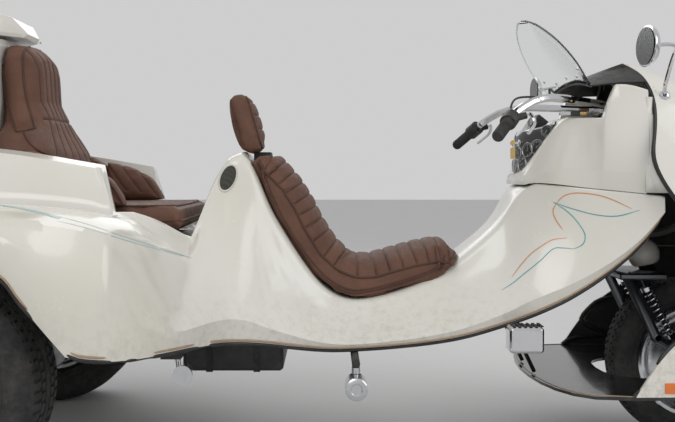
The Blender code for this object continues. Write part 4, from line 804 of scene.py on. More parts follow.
class TRIKE_OT_passenger_seat(bpy.types.Operator):
    """Builds the passenger's cushion, fluted backrest and side bolsters with their piping"""

    bl_idname = "trike.passenger_seat"
    bl_label = "Passenger seat"

    waist_z = 1.135
    waist_rise = 0.06
    lean = 0.028
    back_half = 0.2
    flutes_half = 3.5
    wing_outline = ((-0.98, 0.845), (-0.866, 0.845), (-0.866, 0.985), (-0.9, 1.005), (-0.98, 1.035))

    def half_width(self, z):
        """The backrest widens below its waist, and its flutes widen with it."""
        if z > self.waist_z:
            return self.back_half
        return self.back_half + (0.365 - self.back_half) * min(1.0, (self.waist_z - z) / 0.14)

    def back_flutes(self, place, normal):
        if normal.x < 0.2:
            return None
        half = self.half_width(place.z) * 0.86
        if abs(place.y) > half:
            return None
        pitch = half / self.flutes_half
        across = seam_distance(place.y - pitch / 2, pitch)
        waist = abs(place.z - self.waist_z)
        share = min(1.0, (half - abs(place.y)) / 0.012) * min(1.0, (normal.x - 0.2) / 0.3)
        if place.z > 1.36:
            share *= max(0.0, 1.0 - (place.z - 1.36) / 0.03)
        return min(across, waist), pitch / 2, share

    def execute(self, context):
        settings = context.scene.trike_seat
        low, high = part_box("passenger_backrest")

        def drawn_in(place):
            """Above the waist the front leans back by a little."""
            rise = max(0.0, min(1.0, (place.z - self.waist_z) / self.waist_rise))
            ahead = max(0.0, (place.x - low.x) / (high.x - low.x))
            return Vector((place.x - self.lean * rise * ahead, place.y, place.z))

        back = filled_pad("passenger_backrest", settings, crown=drawn_in)
        sew(back, self.back_flutes, settings.depth)
        tree = surface_of(back)
        for name, pixels in BACKREST_LINES.items():
            sewn_line(name, tree, pixels, settings.piping)
        cushion = filled_pad("passenger_cushion", settings)
        low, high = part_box("passenger_cushion")
        border = 0.05

        def cushion_flutes(place, normal):
            if normal.z < 0.3 or place.x > high.x - border or abs(place.y) > high.y - border:
                return None
            share = min(1.0, (high.x - border - place.x) / 0.012, (high.y - border - abs(place.y)) / 0.012)
            share *= min(1.0, (normal.z - 0.3) / 0.3)
            return seam_distance(place.y, settings.pitch * 1.3), settings.pitch * 0.65, share

        sew(cushion, cushion_flutes, settings.depth)
        tree = surface_of(cushion)
        inner_x, inner_y = high.x - border + 0.006, high.y - border + 0.006
        frame_line = [(-0.86, -inner_y, high.z), (inner_x - 0.03, -inner_y, high.z),
                      (inner_x, -inner_y + 0.03, high.z)]
        frame_line += [(inner_x, y / 10 * inner_y, high.z) for y in range(-8, 9, 2)]
        frame_line += [(inner_x, inner_y - 0.03, high.z), (inner_x - 0.03, inner_y, high.z),
                       (-0.86, inner_y, high.z)]
        tube("cushion_top_piping", slid(tree, frame_line, 0.0008), settings.piping, "piping", "trike")
        low_line = [(-0.8, -0.4, 0.775), (-0.5, -0.4, 0.79), (-0.44, -0.34, 0.795)]
        low_line += [(-0.44, y / 10, 0.795) for y in range(-3, 4)]
        low_line += [(-0.44, 0.34, 0.795), (-0.5, 0.4, 0.79), (-0.8, 0.4, 0.775)]
        tube("cushion_low_piping", slid(tree, low_line, 0.0008), settings.piping, "piping", "trike")
        for side, tag in SIDES:
            bolster = filled_pad("seat_bolster_" + tag, settings)

            def slant_flutes(place, normal, side=side):
                run = (place.x + 0.86) * 0.8 + (place.z - 0.84) * 0.6
                if normal.z < -0.2 or abs(normal.x) > 0.95:
                    return None
                return seam_distance(run, settings.pitch * 0.9), settings.pitch * 0.45, 0.85

            sew(bolster, slant_flutes, settings.depth * 0.8)
            tree = surface_of(bolster)
            line = [(-0.86, side * 0.39, 0.995), (-0.82, side * 0.39, 0.99), (-0.75, side * 0.39, 0.967)]
            line += [(-0.69, side * 0.39, 0.934), (-0.652, side * 0.39, 0.88), (-0.642, side * 0.39, 0.85)]
            tube("bolster_piping_" + tag, slid(tree, line, 0.0008), settings.piping * 0.9, "piping", "trike")
            self.wing(settings, side, tag)
        return {"FINISHED"}

    def wing(self, settings, side, tag):
        """The leather that joins the backrest's foot to the bolster."""
        bm = bmesh.new()
        low_y, high_y = sorted((side * 0.3, side * 0.383))
        face = bm.faces.new([bm.verts.new((x, low_y, z)) for x, z in self.wing_outline])
        grown = bmesh.ops.extrude_face_region(bm, geom=[face])
        moved = [vert for vert in grown["geom"] if isinstance(vert, bmesh.types.BMVert)]
        bmesh.ops.translate(bm, vec=(0.0, high_y - low_y, 0.0), verts=moved)
        bmesh.ops.recalc_face_normals(bm, faces=bm.faces)
        pad = filled_pad("seat_wing_" + tag, settings, form=bm)

        def wing_flutes(place, normal):
            run = (place.x + 0.86) * 0.75 + (place.z - 0.84) * 0.65
            return seam_distance(run, settings.pitch * 0.9), settings.pitch * 0.45, 0.85

        sew(pad, wing_flutes, settings.depth * 0.8)


# Body and nose
BODY_TREE = {}


def hem_points(shell, side):
    """The lower outer edge of the body shell, read from its dressed mesh, back to front."""
    mesh = evaluated_mesh(shell)
    columns = {}
    for vert in mesh.vertices:
        if vert.co.y * side < 0.15:
            continue
        key = round(vert.co.x / 0.03)
        if key not in columns or vert.co.z < columns[key].z - 0.002:
            columns[key] = vert.co.copy()
    bpy.data.meshes.remove(mesh)
    return [columns[key] for key in sorted(columns)]


class TRIKE_OT_body(bpy.types.Operator):
    """Dresses the fibreglass body, its side boxes and tower, and the lid and floor of the load space"""

    bl_idname = "trike.body"
    bl_label = "Body"

    # The lid's nose in plan: where it starts to draw in, over what length, by what share and how roundly
    nose_start, nose_run, nose_share, nose_round = -1.42, 0.37, 0.78, 2.4
    nose_cuts = (-1.14, -1.19, -1.24, -1.3, -1.36)

    def execute(self, context):
        shell = dress("body_shell", "cream", levels=2)
        housing = dress("dash_housing", "cream", levels=1, sharp=28.0)
        lid = dress("trunk_lid", "cream", "trunk_lid", levels=0)
        self.narrow(lid)
        rounded(lid, 0.01, 3)
        floor = dress("trunk_floor", "trunk_lining", levels=0)
        rounded(floor, 0.003)
        BODY_TREE["body"] = surface_of(shell)
        BODY_TREE["housing"] = surface_of(housing)
        BODY_TREE["shell"] = shell
        return {"FINISHED"}

    def narrow(self, lid):
        """The lid's nose is rounded in plan: it draws in towards its tip."""
        bm = bmesh.new()
        bm.from_mesh(lid.data)
        for x in self.nose_cuts:
            everything = bm.verts[:] + bm.edges[:] + bm.faces[:]
            bmesh.ops.bisect_plane(bm, geom=everything, plane_co=(x, 0, 0), plane_no=(1, 0, 0))
        for vert in bm.verts:
            share = max(0.0, min(1.0, (vert.co.x - self.nose_start) / self.nose_run))
            vert.co.y *= 1.0 - self.nose_share * share**self.nose_round
        bm.to_mesh(lid.data)
        bm.free()


class TRIKE_OT_nose(bpy.types.Operator):
    """Dresses the nose's upper and lower shells, its floor tray and the screen's cowl"""

    bl_idname = "trike.nose"
    bl_label = "Nose"

    def execute(self, context):
        upper = dress("nose_upper", "cream", levels=2)
        lower = dress("nose_lower", "cream", levels=2)
        for shell in (upper, lower):
            self.paint_inside_shade(shell)
        dress("nose_floor", "tray", levels=0)
        dress("screen_cowl", "plastic", levels=2)
        BODY_TREE["upper"] = surface_of(upper)
        BODY_TREE["lower"] = surface_of(lower)
        return {"FINISHED"}

    def paint_inside_shade(self, shell):
        """The nose is black inside as painted shade for the shade it lies in: faces that look towards its
        middle take the second finish.
        """
        shell.data.materials.append(FINISH["plastic"])
        middle = Vector((1.2, 0.0, 0.75))
        for face in shell.data.polygons:
            toward = middle - face.center
            toward.z = 0.0
            if face.normal.dot(toward) > 0.02:
                face.material_index = 1


class TRIKE_OT_trims(bpy.types.Operator):
    """Fits the rubber bead and tan band on the body's hem and the beads on the nose's edges"""

    bl_idname = "trike.trims"
    bl_label = "Edge trims"

    # The headlamp's opening lies forward of this.
    lamp_side = 1.35
    # The ear return: its edge on the ear, its heights, and its foot's way from the rim towards a lower point
    ear_x, ear_y = 1.022, 0.3365
    ear_low, ear_high = 0.925, 1.2
    foot_end, foot_share = (1.108, 0.385, 0.86), 0.62

    def execute(self, context):
        settings = context.scene.trike_body
        for side, tag in SIDES:
            edge = hem_points(BODY_TREE["shell"], side)
            bead = [p + Vector((0, side * 0.001, -0.001)) for p in edge]
            tube("hem_bead_" + tag, bead, settings.bead, "black_line", "trike", sides=3, steps=3)
            band = [p + Vector((0, side * 0.004, settings.bead + settings.band * 0.5)) for p in edge]
            tree = BODY_TREE["body"]
            tube("hem_band_" + tag, slid(tree, band, 0.0004), settings.bead * 0.62, "tan", "trike", sides=2,
                 steps=3)
            for name, node, key in (("upper_nose_bead", "nose_upper", "upper"),
                                    ("lower_nose_bead", "nose_lower", "lower")):
                rim = self.rear_edge(node, side)
                tube(f"{name}_{tag}", rim, settings.edge, "black_line", "trike", sides=3, steps=3)
                inner = [p + Vector((settings.edge * 1.25, side * 0.002, 0.0)) for p in rim]
                tube(f"{name}_tan_{tag}", slid(BODY_TREE[key], inner, 0.0004), settings.edge * 0.3, "tan",
                     "trike", sides=2, steps=3)
                inner = [p + Vector((settings.edge * 1.85, side * 0.002, 0.0)) for p in rim]
                tube(f"{name}_outer_{tag}", slid(BODY_TREE[key], inner, 0.0), settings.edge * 0.32,
                     "black_line", "trike", sides=2, steps=3)
            self.ear_return(side, tag)
        return {"FINISHED"}

    def rear_edge(self, node, side):
        """The nose shell's rear edge, from its lowest to its highest point."""
        levels = {}
        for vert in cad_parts[node].data.vertices:
            if vert.co.y * side > 0.03 and vert.co.x < self.lamp_side:
                levels.setdefault(round(vert.co.z / 0.02), []).append(vert.co.copy())
        rim = []
        for key in sorted(levels):
            reach = max(place.y * side for place in levels[key])
            outer = [place for place in levels[key] if place.y * side > reach - 0.016]
            place = min(outer, key=lambda place: place.x)
            if not rim or (place - rim[-1]).length > 0.02:
                rim.append(place)
        return rim

    def ear_return(self, side, tag):
        """The white return that carries each ear of the dash housing to the nose's edge."""
        rim = [p for p in self.rear_edge("nose_upper", side) if self.ear_low < p.z < self.ear_high]
        x, y, z = self.foot_end
        rim.insert(0, rim[0].lerp(Vector((x, side * y, z)), self.foot_share))
        bm = bmesh.new()
        rungs = []
        for p in rim:
            near = bm.verts.new((self.ear_x, side * self.ear_y, p.z))
            middle = bm.verts.new(((self.ear_x + p.x) / 2, side * (self.ear_y + 0.0025), p.z))
            far = bm.verts.new((max(p.x, 1.03) + 0.004, p.y - side * 0.008, p.z))
            rungs.append((bm.edges.new((near, middle)), bm.edges.new((middle, far))))
        for a, b in zip(rungs, rungs[1:]):
            for low, high in zip(a, b):
                bmesh.ops.bridge_loops(bm, edges=[low, high])
        for face in bm.faces:
            if face.normal.y * side < 0:
                face.normal_flip()
        piece = from_bm("ear_return_" + tag, bm, "cream", "trike", turn_out=False)
        wall = piece.modifiers.new("Wall", "SOLIDIFY")
        wall.thickness = 0.004
        wall.offset = -1.0


class TRIKE_OT_pinstripes(bpy.types.Operator):
    """Paints the fender's pale band and the orange and teal pinstripes where the photograph shows them"""

    bl_idname = "trike.pinstripes"
    bl_label = "Pinstripes"

    orange = [
        [(556, 204), (564, 196), (577, 193), (597, 195), (613, 200), (632, 209)],
        [(556, 204), (553, 211), (556, 220), (563, 230)],
        [(567, 238), (556, 239), (548, 242), (532, 253), (521, 265), (512, 277)],
    ]
    teal = [
        [(553, 202), (573, 209), (597, 215), (618, 216), (640, 210)],
        [(553, 202), (568, 212), (579, 224), (585, 235), (583, 244), (574, 249)],
        [(574, 249), (563, 248), (553, 249), (540, 261), (524, 274), (513, 283), (502, 290)],
    ]
    band = [(0, 205), (20, 208), (42, 213), (60, 218)]
    fine = [
        [(58, 216), (90, 225), (125, 237), (160, 248), (192, 258)],
        [(58, 221), (90, 229), (125, 240), (160, 250), (192, 258)],
    ]

    def execute(self, context):
        width = context.scene.trike_body.line
        tree = BODY_TREE["body"]
        for i, path in enumerate(self.orange):
            drawn_line(f"orange_line_{i}", tree, path, width * 0.8, "orange")
        for i, path in enumerate(self.teal):
            drawn_line(f"teal_line_{i}", tree, path, width * 0.8, "teal")
        drawn_line("fender_band", tree, self.band, width * 4.2, "pale_teal", ends=0.8)
        for i, path in enumerate(self.fine):
            drawn_line(f"fender_line_{i}", tree, path, width * 0.7, "pale_teal")
        return {"FINISHED"}


# Wheels and running gear
TREAD_STEPS = 3


def tyre(name, centre, radius, width, rim_radius, body, settings):
    """A tyre spun from its section: beads, side walls with rings, and a grooved, blocked tread."""
    half = width / 2
    seat = rim_radius + 0.0006
    deep = settings.groove
    wall = radius - seat
    side = [(seat, -half * 0.7), (seat + 0.012, -half * 0.86), (seat + 0.022, -half * 0.9)]
    side += [(seat + 0.024, -half * 0.93), (seat + wall * 0.32, -half * 0.985),
             (seat + wall * 0.34, -half * 0.965)]
    side += [(seat + wall * 0.5, -half * 0.998), (radius - 0.034, -half * 0.985),
             (radius - 0.022, -half * 0.945)]
    side += [(radius - 0.008, -half * 0.82)]
    tread = [(radius - 0.003, -half * 0.74)]
    for place in (-0.46, -0.16, 0.16, 0.46):
        gap = 0.035
        tread += [(radius, half * (place - gap)), (radius - deep, half * (place - gap * 0.8))]
        tread += [(radius - deep, half * (place + gap * 0.8)), (radius, half * (place + gap))]
    tread += [(radius - 0.003, half * 0.74)]
    profile = side + tread + [(r, -off) for r, off in reversed(side)]
    profile = profile + [profile[0]]
    bm = bmesh.new()
    turned(bm, profile, centre, (0, 1, 0), settings.lugs * TREAD_STEPS)
    bmesh.ops.remove_doubles(bm, verts=bm.verts, dist=1e-5)
    bmesh.ops.recalc_face_normals(bm, faces=bm.faces)
    bm.faces.ensure_lookup_table()
    sipes = []
    for face in bm.faces:
        middle = face.calc_center_median()
        across = (middle.y - centre[1]) / half
        reach = math.hypot(middle.x - centre[0], middle.z - centre[2])
        if reach < radius - 0.012 or reach < radius - deep * 0.5 and abs(across) < 0.7:
            continue
        turn = math.atan2(middle.z - centre[2], middle.x - centre[0]) / math.tau
        row = sum(abs(across) > edge for edge in (0.16, 0.46)) * 0.5
        step = (turn * settings.lugs * TREAD_STEPS + row * TREAD_STEPS) % TREAD_STEPS
        if step < 1.0 and abs(across) > 0.19:
            sipes.append(face)
    made = bmesh.ops.extrude_discrete_faces(bm, faces=sipes)
    for face in made["faces"]:
        inward = Vector(centre) - face.calc_center_median()
        inward.y = 0.0
        bmesh.ops.translate(bm, vec=inward.normalized() * deep * 0.7, verts=face.verts)
        bmesh.ops.scale(bm, vec=(0.92, 0.92, 0.92), space=Matrix.Translation(-face.calc_center_median()),
                        verts=face.verts)
    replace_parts(from_bm(name, bm, "tyre", body, sharp=30.0), name)


class TRIKE_OT_wheels(bpy.types.Operator):
    """Builds the treaded tyres, the polished rims with their holes as black disks of painted shade, bolts and
    caps, and the valve stems
    """

    bl_idname = "trike.wheels"
    bl_label = "Wheels"

    rear_radius, rear_width, rear_rim = 0.34, 0.26, 0.205
    front_radius, front_width, front_rim = 0.29, 0.14, 0.2

    def execute(self, context):
        settings = context.scene.trike_wheel
        front = (self.front_radius, self.front_width, self.front_rim)
        rear = (self.rear_radius, self.rear_width, self.rear_rim)
        tyre("front_tyre", FRONT_WHEEL, *front, "front_wheel", settings)
        self.front_rim_piece()
        for side, tag in SIDES:
            centre = (REAR_WHEEL_X, side * REAR_WHEEL_Y, REAR_WHEEL_Z)
            body = "rear_wheel_" + tag
            tyre("rear_tyre_" + tag, centre, *rear, body, settings)
            self.rear_rim_piece(side, tag, body, settings)
        return {"FINISHED"}

    def front_rim_piece(self):
        dress("front_rim", "alloy", "front_wheel", levels=1, sharp=28.0)
        bm = bmesh.new()
        for side in (-1, 1):
            hub = FRONT_WHEEL + Vector((0, side * 0.0135, 0))
            for i in range(6):
                angle = math.tau * i / 6
                spot = hub + Vector((0.075 * math.cos(angle), 0, 0.075 * math.sin(angle)))
                round_screw(bm, spot, (0, side, 0), 0.007, 0.004)
        piece = from_bm("front_rim_bolts", bm, "chrome", "front_wheel")

    def rear_rim_piece(self, side, tag, body, settings):
        dress("rear_rim_" + tag, "alloy", body, levels=1, sharp=28.0)
        bm = bmesh.new()
        hub = Vector((REAR_WHEEL_X, side * (REAR_WHEEL_Y + 0.062), REAR_WHEEL_Z))
        for i in range(settings.nuts):
            angle = math.tau * (i + 0.25) / settings.nuts
            spot = hub + Vector((0.058 * math.cos(angle), 0, 0.058 * math.sin(angle)))
            cylinder(bm, spot - Vector((0, side * 0.004, 0)), spot + Vector((0, side * 0.012, 0)), 0.0095, 6)
            round_screw(bm, spot + Vector((0, side * 0.0122, 0)), (0, side, 0), 0.0065, 0.004)
        from_bm("rear_wheel_bolts_" + tag, bm, "chrome", body)
        # Black disks on the rim's face stand for its holes: painted shade
        bm = bmesh.new()
        for i in range(16):
            angle = math.tau * i / 16
            spot = hub + Vector((0.108 * math.cos(angle), side * 0.0075, 0.108 * math.sin(angle)))
            cylinder(bm, spot, spot + Vector((0, side * 0.0015, 0)), 0.011, 20)
        from_bm("rear_rim_vents_" + tag, bm, "plastic", body)
        valve = hub + Vector((0.0, side * 0.0, -0.172))
        bm = bmesh.new()
        cylinder(bm, valve, valve + Vector((0, side * 0.03, 0.006)), 0.004, 12, 0.003)
        from_bm("valve_" + tag, bm, "rubber", body)


class TRIKE_OT_front_end(bpy.types.Operator):
    """Dresses the fork, steering head and handlebar with its controls, and adds the springs and bolts"""

    bl_idname = "trike.front_end"
    bl_label = "Front end"

    def execute(self, context):
        dress("fork", "fork", "steering", levels=0)
        dress("steering_head", "cream", "trike", levels=2)
        dress("handlebar", "chrome", "steering", levels=0)
        for side, tag in SIDES:
            self.spring(side, tag)
            self.grip(side, tag)
            dress("switch_housing_" + tag, "plastic", "steering", levels=0)
            dress("lever_" + tag, "chrome", "steering", levels=1)
        dress("control_cable", "rubber", "steering", levels=1)
        bm = bmesh.new()
        for x in (0.97, 1.006):
            for y in (-0.04, 0.04):
                cylinder(bm, (x, y, 1.197), (x, y, 1.203), 0.006, 6)
        from_bm("clamp_bolts", bm, "steel", "steering")
        for side, tag in SIDES:
            bm = bmesh.new()
            y = side * 0.138
            cylinder(bm, (1.29, y, 0.29), (1.29, side * 0.1495, 0.29), 0.019, 6)
            cylinder(bm, (1.131, y * 0.985, 0.384), (1.131, side * 0.143, 0.384), 0.012, 6)
            from_bm("link_bolts_" + tag, bm, "chrome", "steering")
        return {"FINISHED"}

    def spring(self, side, tag):
        """A coil spring with its two seats beside each fork leg."""
        top = Vector((1.085, side * 0.11, 0.584))
        low = Vector((1.2, side * 0.12, 0.348))
        along = (low - top).normalized()
        out = along.orthogonal().normalized()
        across = along.cross(out)
        start, end = top + along * 0.04, low - along * 0.05
        path = []
        turns, steps, coil = 9, 12, 0.0165
        for i in range(turns * steps + 1):
            angle = math.tau * i / steps
            ring = (out * math.cos(angle) + across * math.sin(angle)) * coil
            path.append(start.lerp(end, i / (turns * steps)) + ring)
        tube("fork_spring_" + tag, path, 0.0028, "chrome", "steering", sides=2, steps=2)
        bm = bmesh.new()
        cylinder(bm, top + along * 0.03, top + along * 0.044, 0.021, 24)
        cylinder(bm, low - along * 0.054, low - along * 0.04, 0.021, 24)
        from_bm("spring_seats_" + tag, bm, "chrome", "steering")

    def grip(self, side, tag):
        """A ribbed rubber grip with a rounded end."""
        low, high = Vector((0.59, side * 0.347, 1.13)), Vector((0.52, side * 0.468, 1.06))
        along = (high - low).normalized()
        begin = low.lerp(high, 0.302)
        length = (high - begin).length
        profile = [(0.0145, 0.0), (0.0195, 0.0), (0.0195, 0.004)]
        ribs = 22
        for i in range(ribs):
            a = 0.006 + (length - 0.014) * i / ribs
            b = (length - 0.014) / ribs
            profile += [(0.0178, a), (0.0193, a + b * 0.3), (0.0193, a + b * 0.75)]
        profile += [(0.0185, length - 0.006), (0.016, length - 0.001), (0.0, length)]
        bm = bmesh.new()
        turned(bm, profile, begin, along, 32)
        piece = from_bm("grip_" + tag, bm, "rubber", "steering")
        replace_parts(piece, "grip_" + tag)


class TRIKE_OT_running_gear(bpy.types.Operator):
    """Dresses the chassis, axle, engine with its pulley and leads, exhausts, pegs, pedals and battery box"""

    bl_idname = "trike.running_gear"
    bl_label = "Running gear"

    pulley_at = (-1.621, 0.0, 0.665)
    pulley_radius = 0.055

    def execute(self, context):
        dress("chassis", "frame", levels=0)
        rounded(dress("rear_axle", "cast", levels=0), 0.004)
        rounded(dress("engine_block", "cast", levels=0), 0.0015)
        rounded(dress("battery_box", "plastic", levels=0), 0.006, 3)
        for side, tag in SIDES:
            dress("exhaust_" + tag, "chrome", levels=0)
            rounded(dress("foot_pedal_" + tag, "chrome", levels=0), 0.003)
            self.pegs(side, tag)
            self.exhaust_mouth(side, tag)
            self.pedal_tread(side, tag)
        self.engine_details()
        self.straps()
        return {"FINISHED"}

    def pegs(self, side, tag):
        bm = bmesh.new()
        x, z = 0.087, 0.29
        face = 0.4905
        profile = [(0.0, 0.0), (0.033, 0.0), (0.0345, 0.003), (0.0345, 0.009), (0.03, 0.012), (0.018, 0.0125)]
        profile += [(0.016, 0.0105), (0.0, 0.0105)]
        turned(bm, profile, (x, side * face, z), (0, side, 0), 40)
        cylinder(bm, (x, side * 0.409, z), (x, side * 0.4895, z), 0.0347, 36)
        from_bm("passenger_peg_cap_" + tag, bm, "alloy", "trike")
        bm = bmesh.new()
        cylinder(bm, (x, side * 0.426, z + 0.0355), (x, side * 0.426, 0.344), 0.0132, 20)
        from_bm("passenger_peg_post_" + tag, bm, "alloy", "trike")
        bm = bmesh.new()
        turned(bm, [(0.0, 0.0), (0.026, 0.0), (0.03, 0.004), (0.03, 0.012), (0.0, 0.012)],
               (-0.43, side * 0.575, 0.352), (0, side, 0), 32)
        cylinder(bm, (-0.43, side * 0.5, 0.352), (-0.43, side * 0.5745, 0.352), 0.018, 24)
        cylinder(bm, (-0.45, side * 0.52, 0.366), (-0.455, side * 0.52, 0.3985), 0.008, 16)
        from_bm("folded_peg_" + tag, bm, "alloy", "trike")

    def exhaust_mouth(self, side, tag):
        bm = bmesh.new()
        end = Vector((-1.735, side * 0.36, 0.245))
        along = (end - Vector((-1.59, side * 0.318, 0.229))).normalized()
        profile = [(0.036, 0.0008), (0.0405, 0.0008), (0.0405, 0.004), (0.036, 0.004), (0.033, -0.0)]
        turned(bm, profile + [profile[0]], end - along * 0.003, along, 32)
        # A black disk across the pipe's end: painted shade for the pipe's dark inside
        cylinder(bm, end + along * 0.0002, end + along * 0.0006, 0.034, 28)
        from_bm("exhaust_mouth_" + tag, bm, "plastic", "trike")

    def pedal_tread(self, side, tag):
        bm = bmesh.new()
        for i in range(6):
            x = 0.586 + i * 0.0176
            block(bm, (x, min(side * 0.316, side * 0.386), 0.4622),
                  (x + 0.009, max(side * 0.316, side * 0.386), 0.4655))
        rounded(from_bm("pedal_tread_" + tag, bm, "rubber", "trike"), 0.001)

    def engine_details(self):
        bm = bmesh.new()
        radius = self.pulley_radius
        profile = [(0.0, 0.0), (radius, 0.0), (radius, 0.006), (radius * 0.85, 0.009), (radius * 0.85, 0.015)]
        profile += [(radius, 0.018), (radius, 0.024), (0.0, 0.024)]
        turned(bm, profile, self.pulley_at, (-1, 0, 0), 36)
        from_bm("engine_pulley", bm, "steel", "trike")
        for side, tag in SIDES:
            bm = bmesh.new()
            for i in range(3):
                spot = Vector((-1.55 + 0.08 * i, side * 0.2905, 0.395))
                cylinder(bm, spot, spot + Vector((0, side * 0.008, 0)), 0.008, 6)
            from_bm("rocker_bolts_" + tag, bm, "steel", "trike")
            for i, x in enumerate((-1.52, -1.39)):
                path = [(x, side * 0.27, 0.462), (x, side * 0.27, 0.5), (x + 0.02, side * 0.235, 0.54),
                        (-1.46, side * 0.225, 0.6), (-1.45, side * 0.2215, 0.62)]
                tube(f"plug_lead_{tag}_{i}", path, 0.0035, "rubber", "trike", sides=2)

    def straps(self):
        bm = bmesh.new()
        for x in (-0.4, -0.24):
            block(bm, (x - 0.011, -0.1915, 0.2795), (x + 0.011, 0.1915, 0.281))
            for side in (-1, 1):
                low, high = sorted((side * 0.19, side * 0.1915))
                block(bm, (x - 0.011, low, 0.2795), (x + 0.011, high, 0.372))
        from_bm("battery_straps", bm, "rubber", "trike")


# Dash, lamps, mirrors, screen and rear
GAUGE_PIXELS = [(547, 131), (537.5, 147), (528, 150), (519, 153), (523, 164), (514.5, 166)]
GAUGE_R = 0.026
RIVET_PIXELS = ((554, 124), (547, 138), (538, 155), (528, 168), (518, 173), (511, 160))
KEY_PIXEL = (520, 143)
SPEAKER_PIXEL, SPEAKER_TOP_PIXEL = (228, 178), (232, 168)
LOCK_PIXEL = (570, 119)
DASH_LOW, DASH_HIGH = Vector((0.6865, 0.0, 0.9535)), Vector((0.787, 0.0, 1.1235))
DASH_HALF = ((0.0, 0.085), (0.15, 0.112), (0.5, 0.14), (0.85, 0.152), (1.0, 0.14))
DASH_FRONT_X = 0.674
DASH_BULGE = 0.085


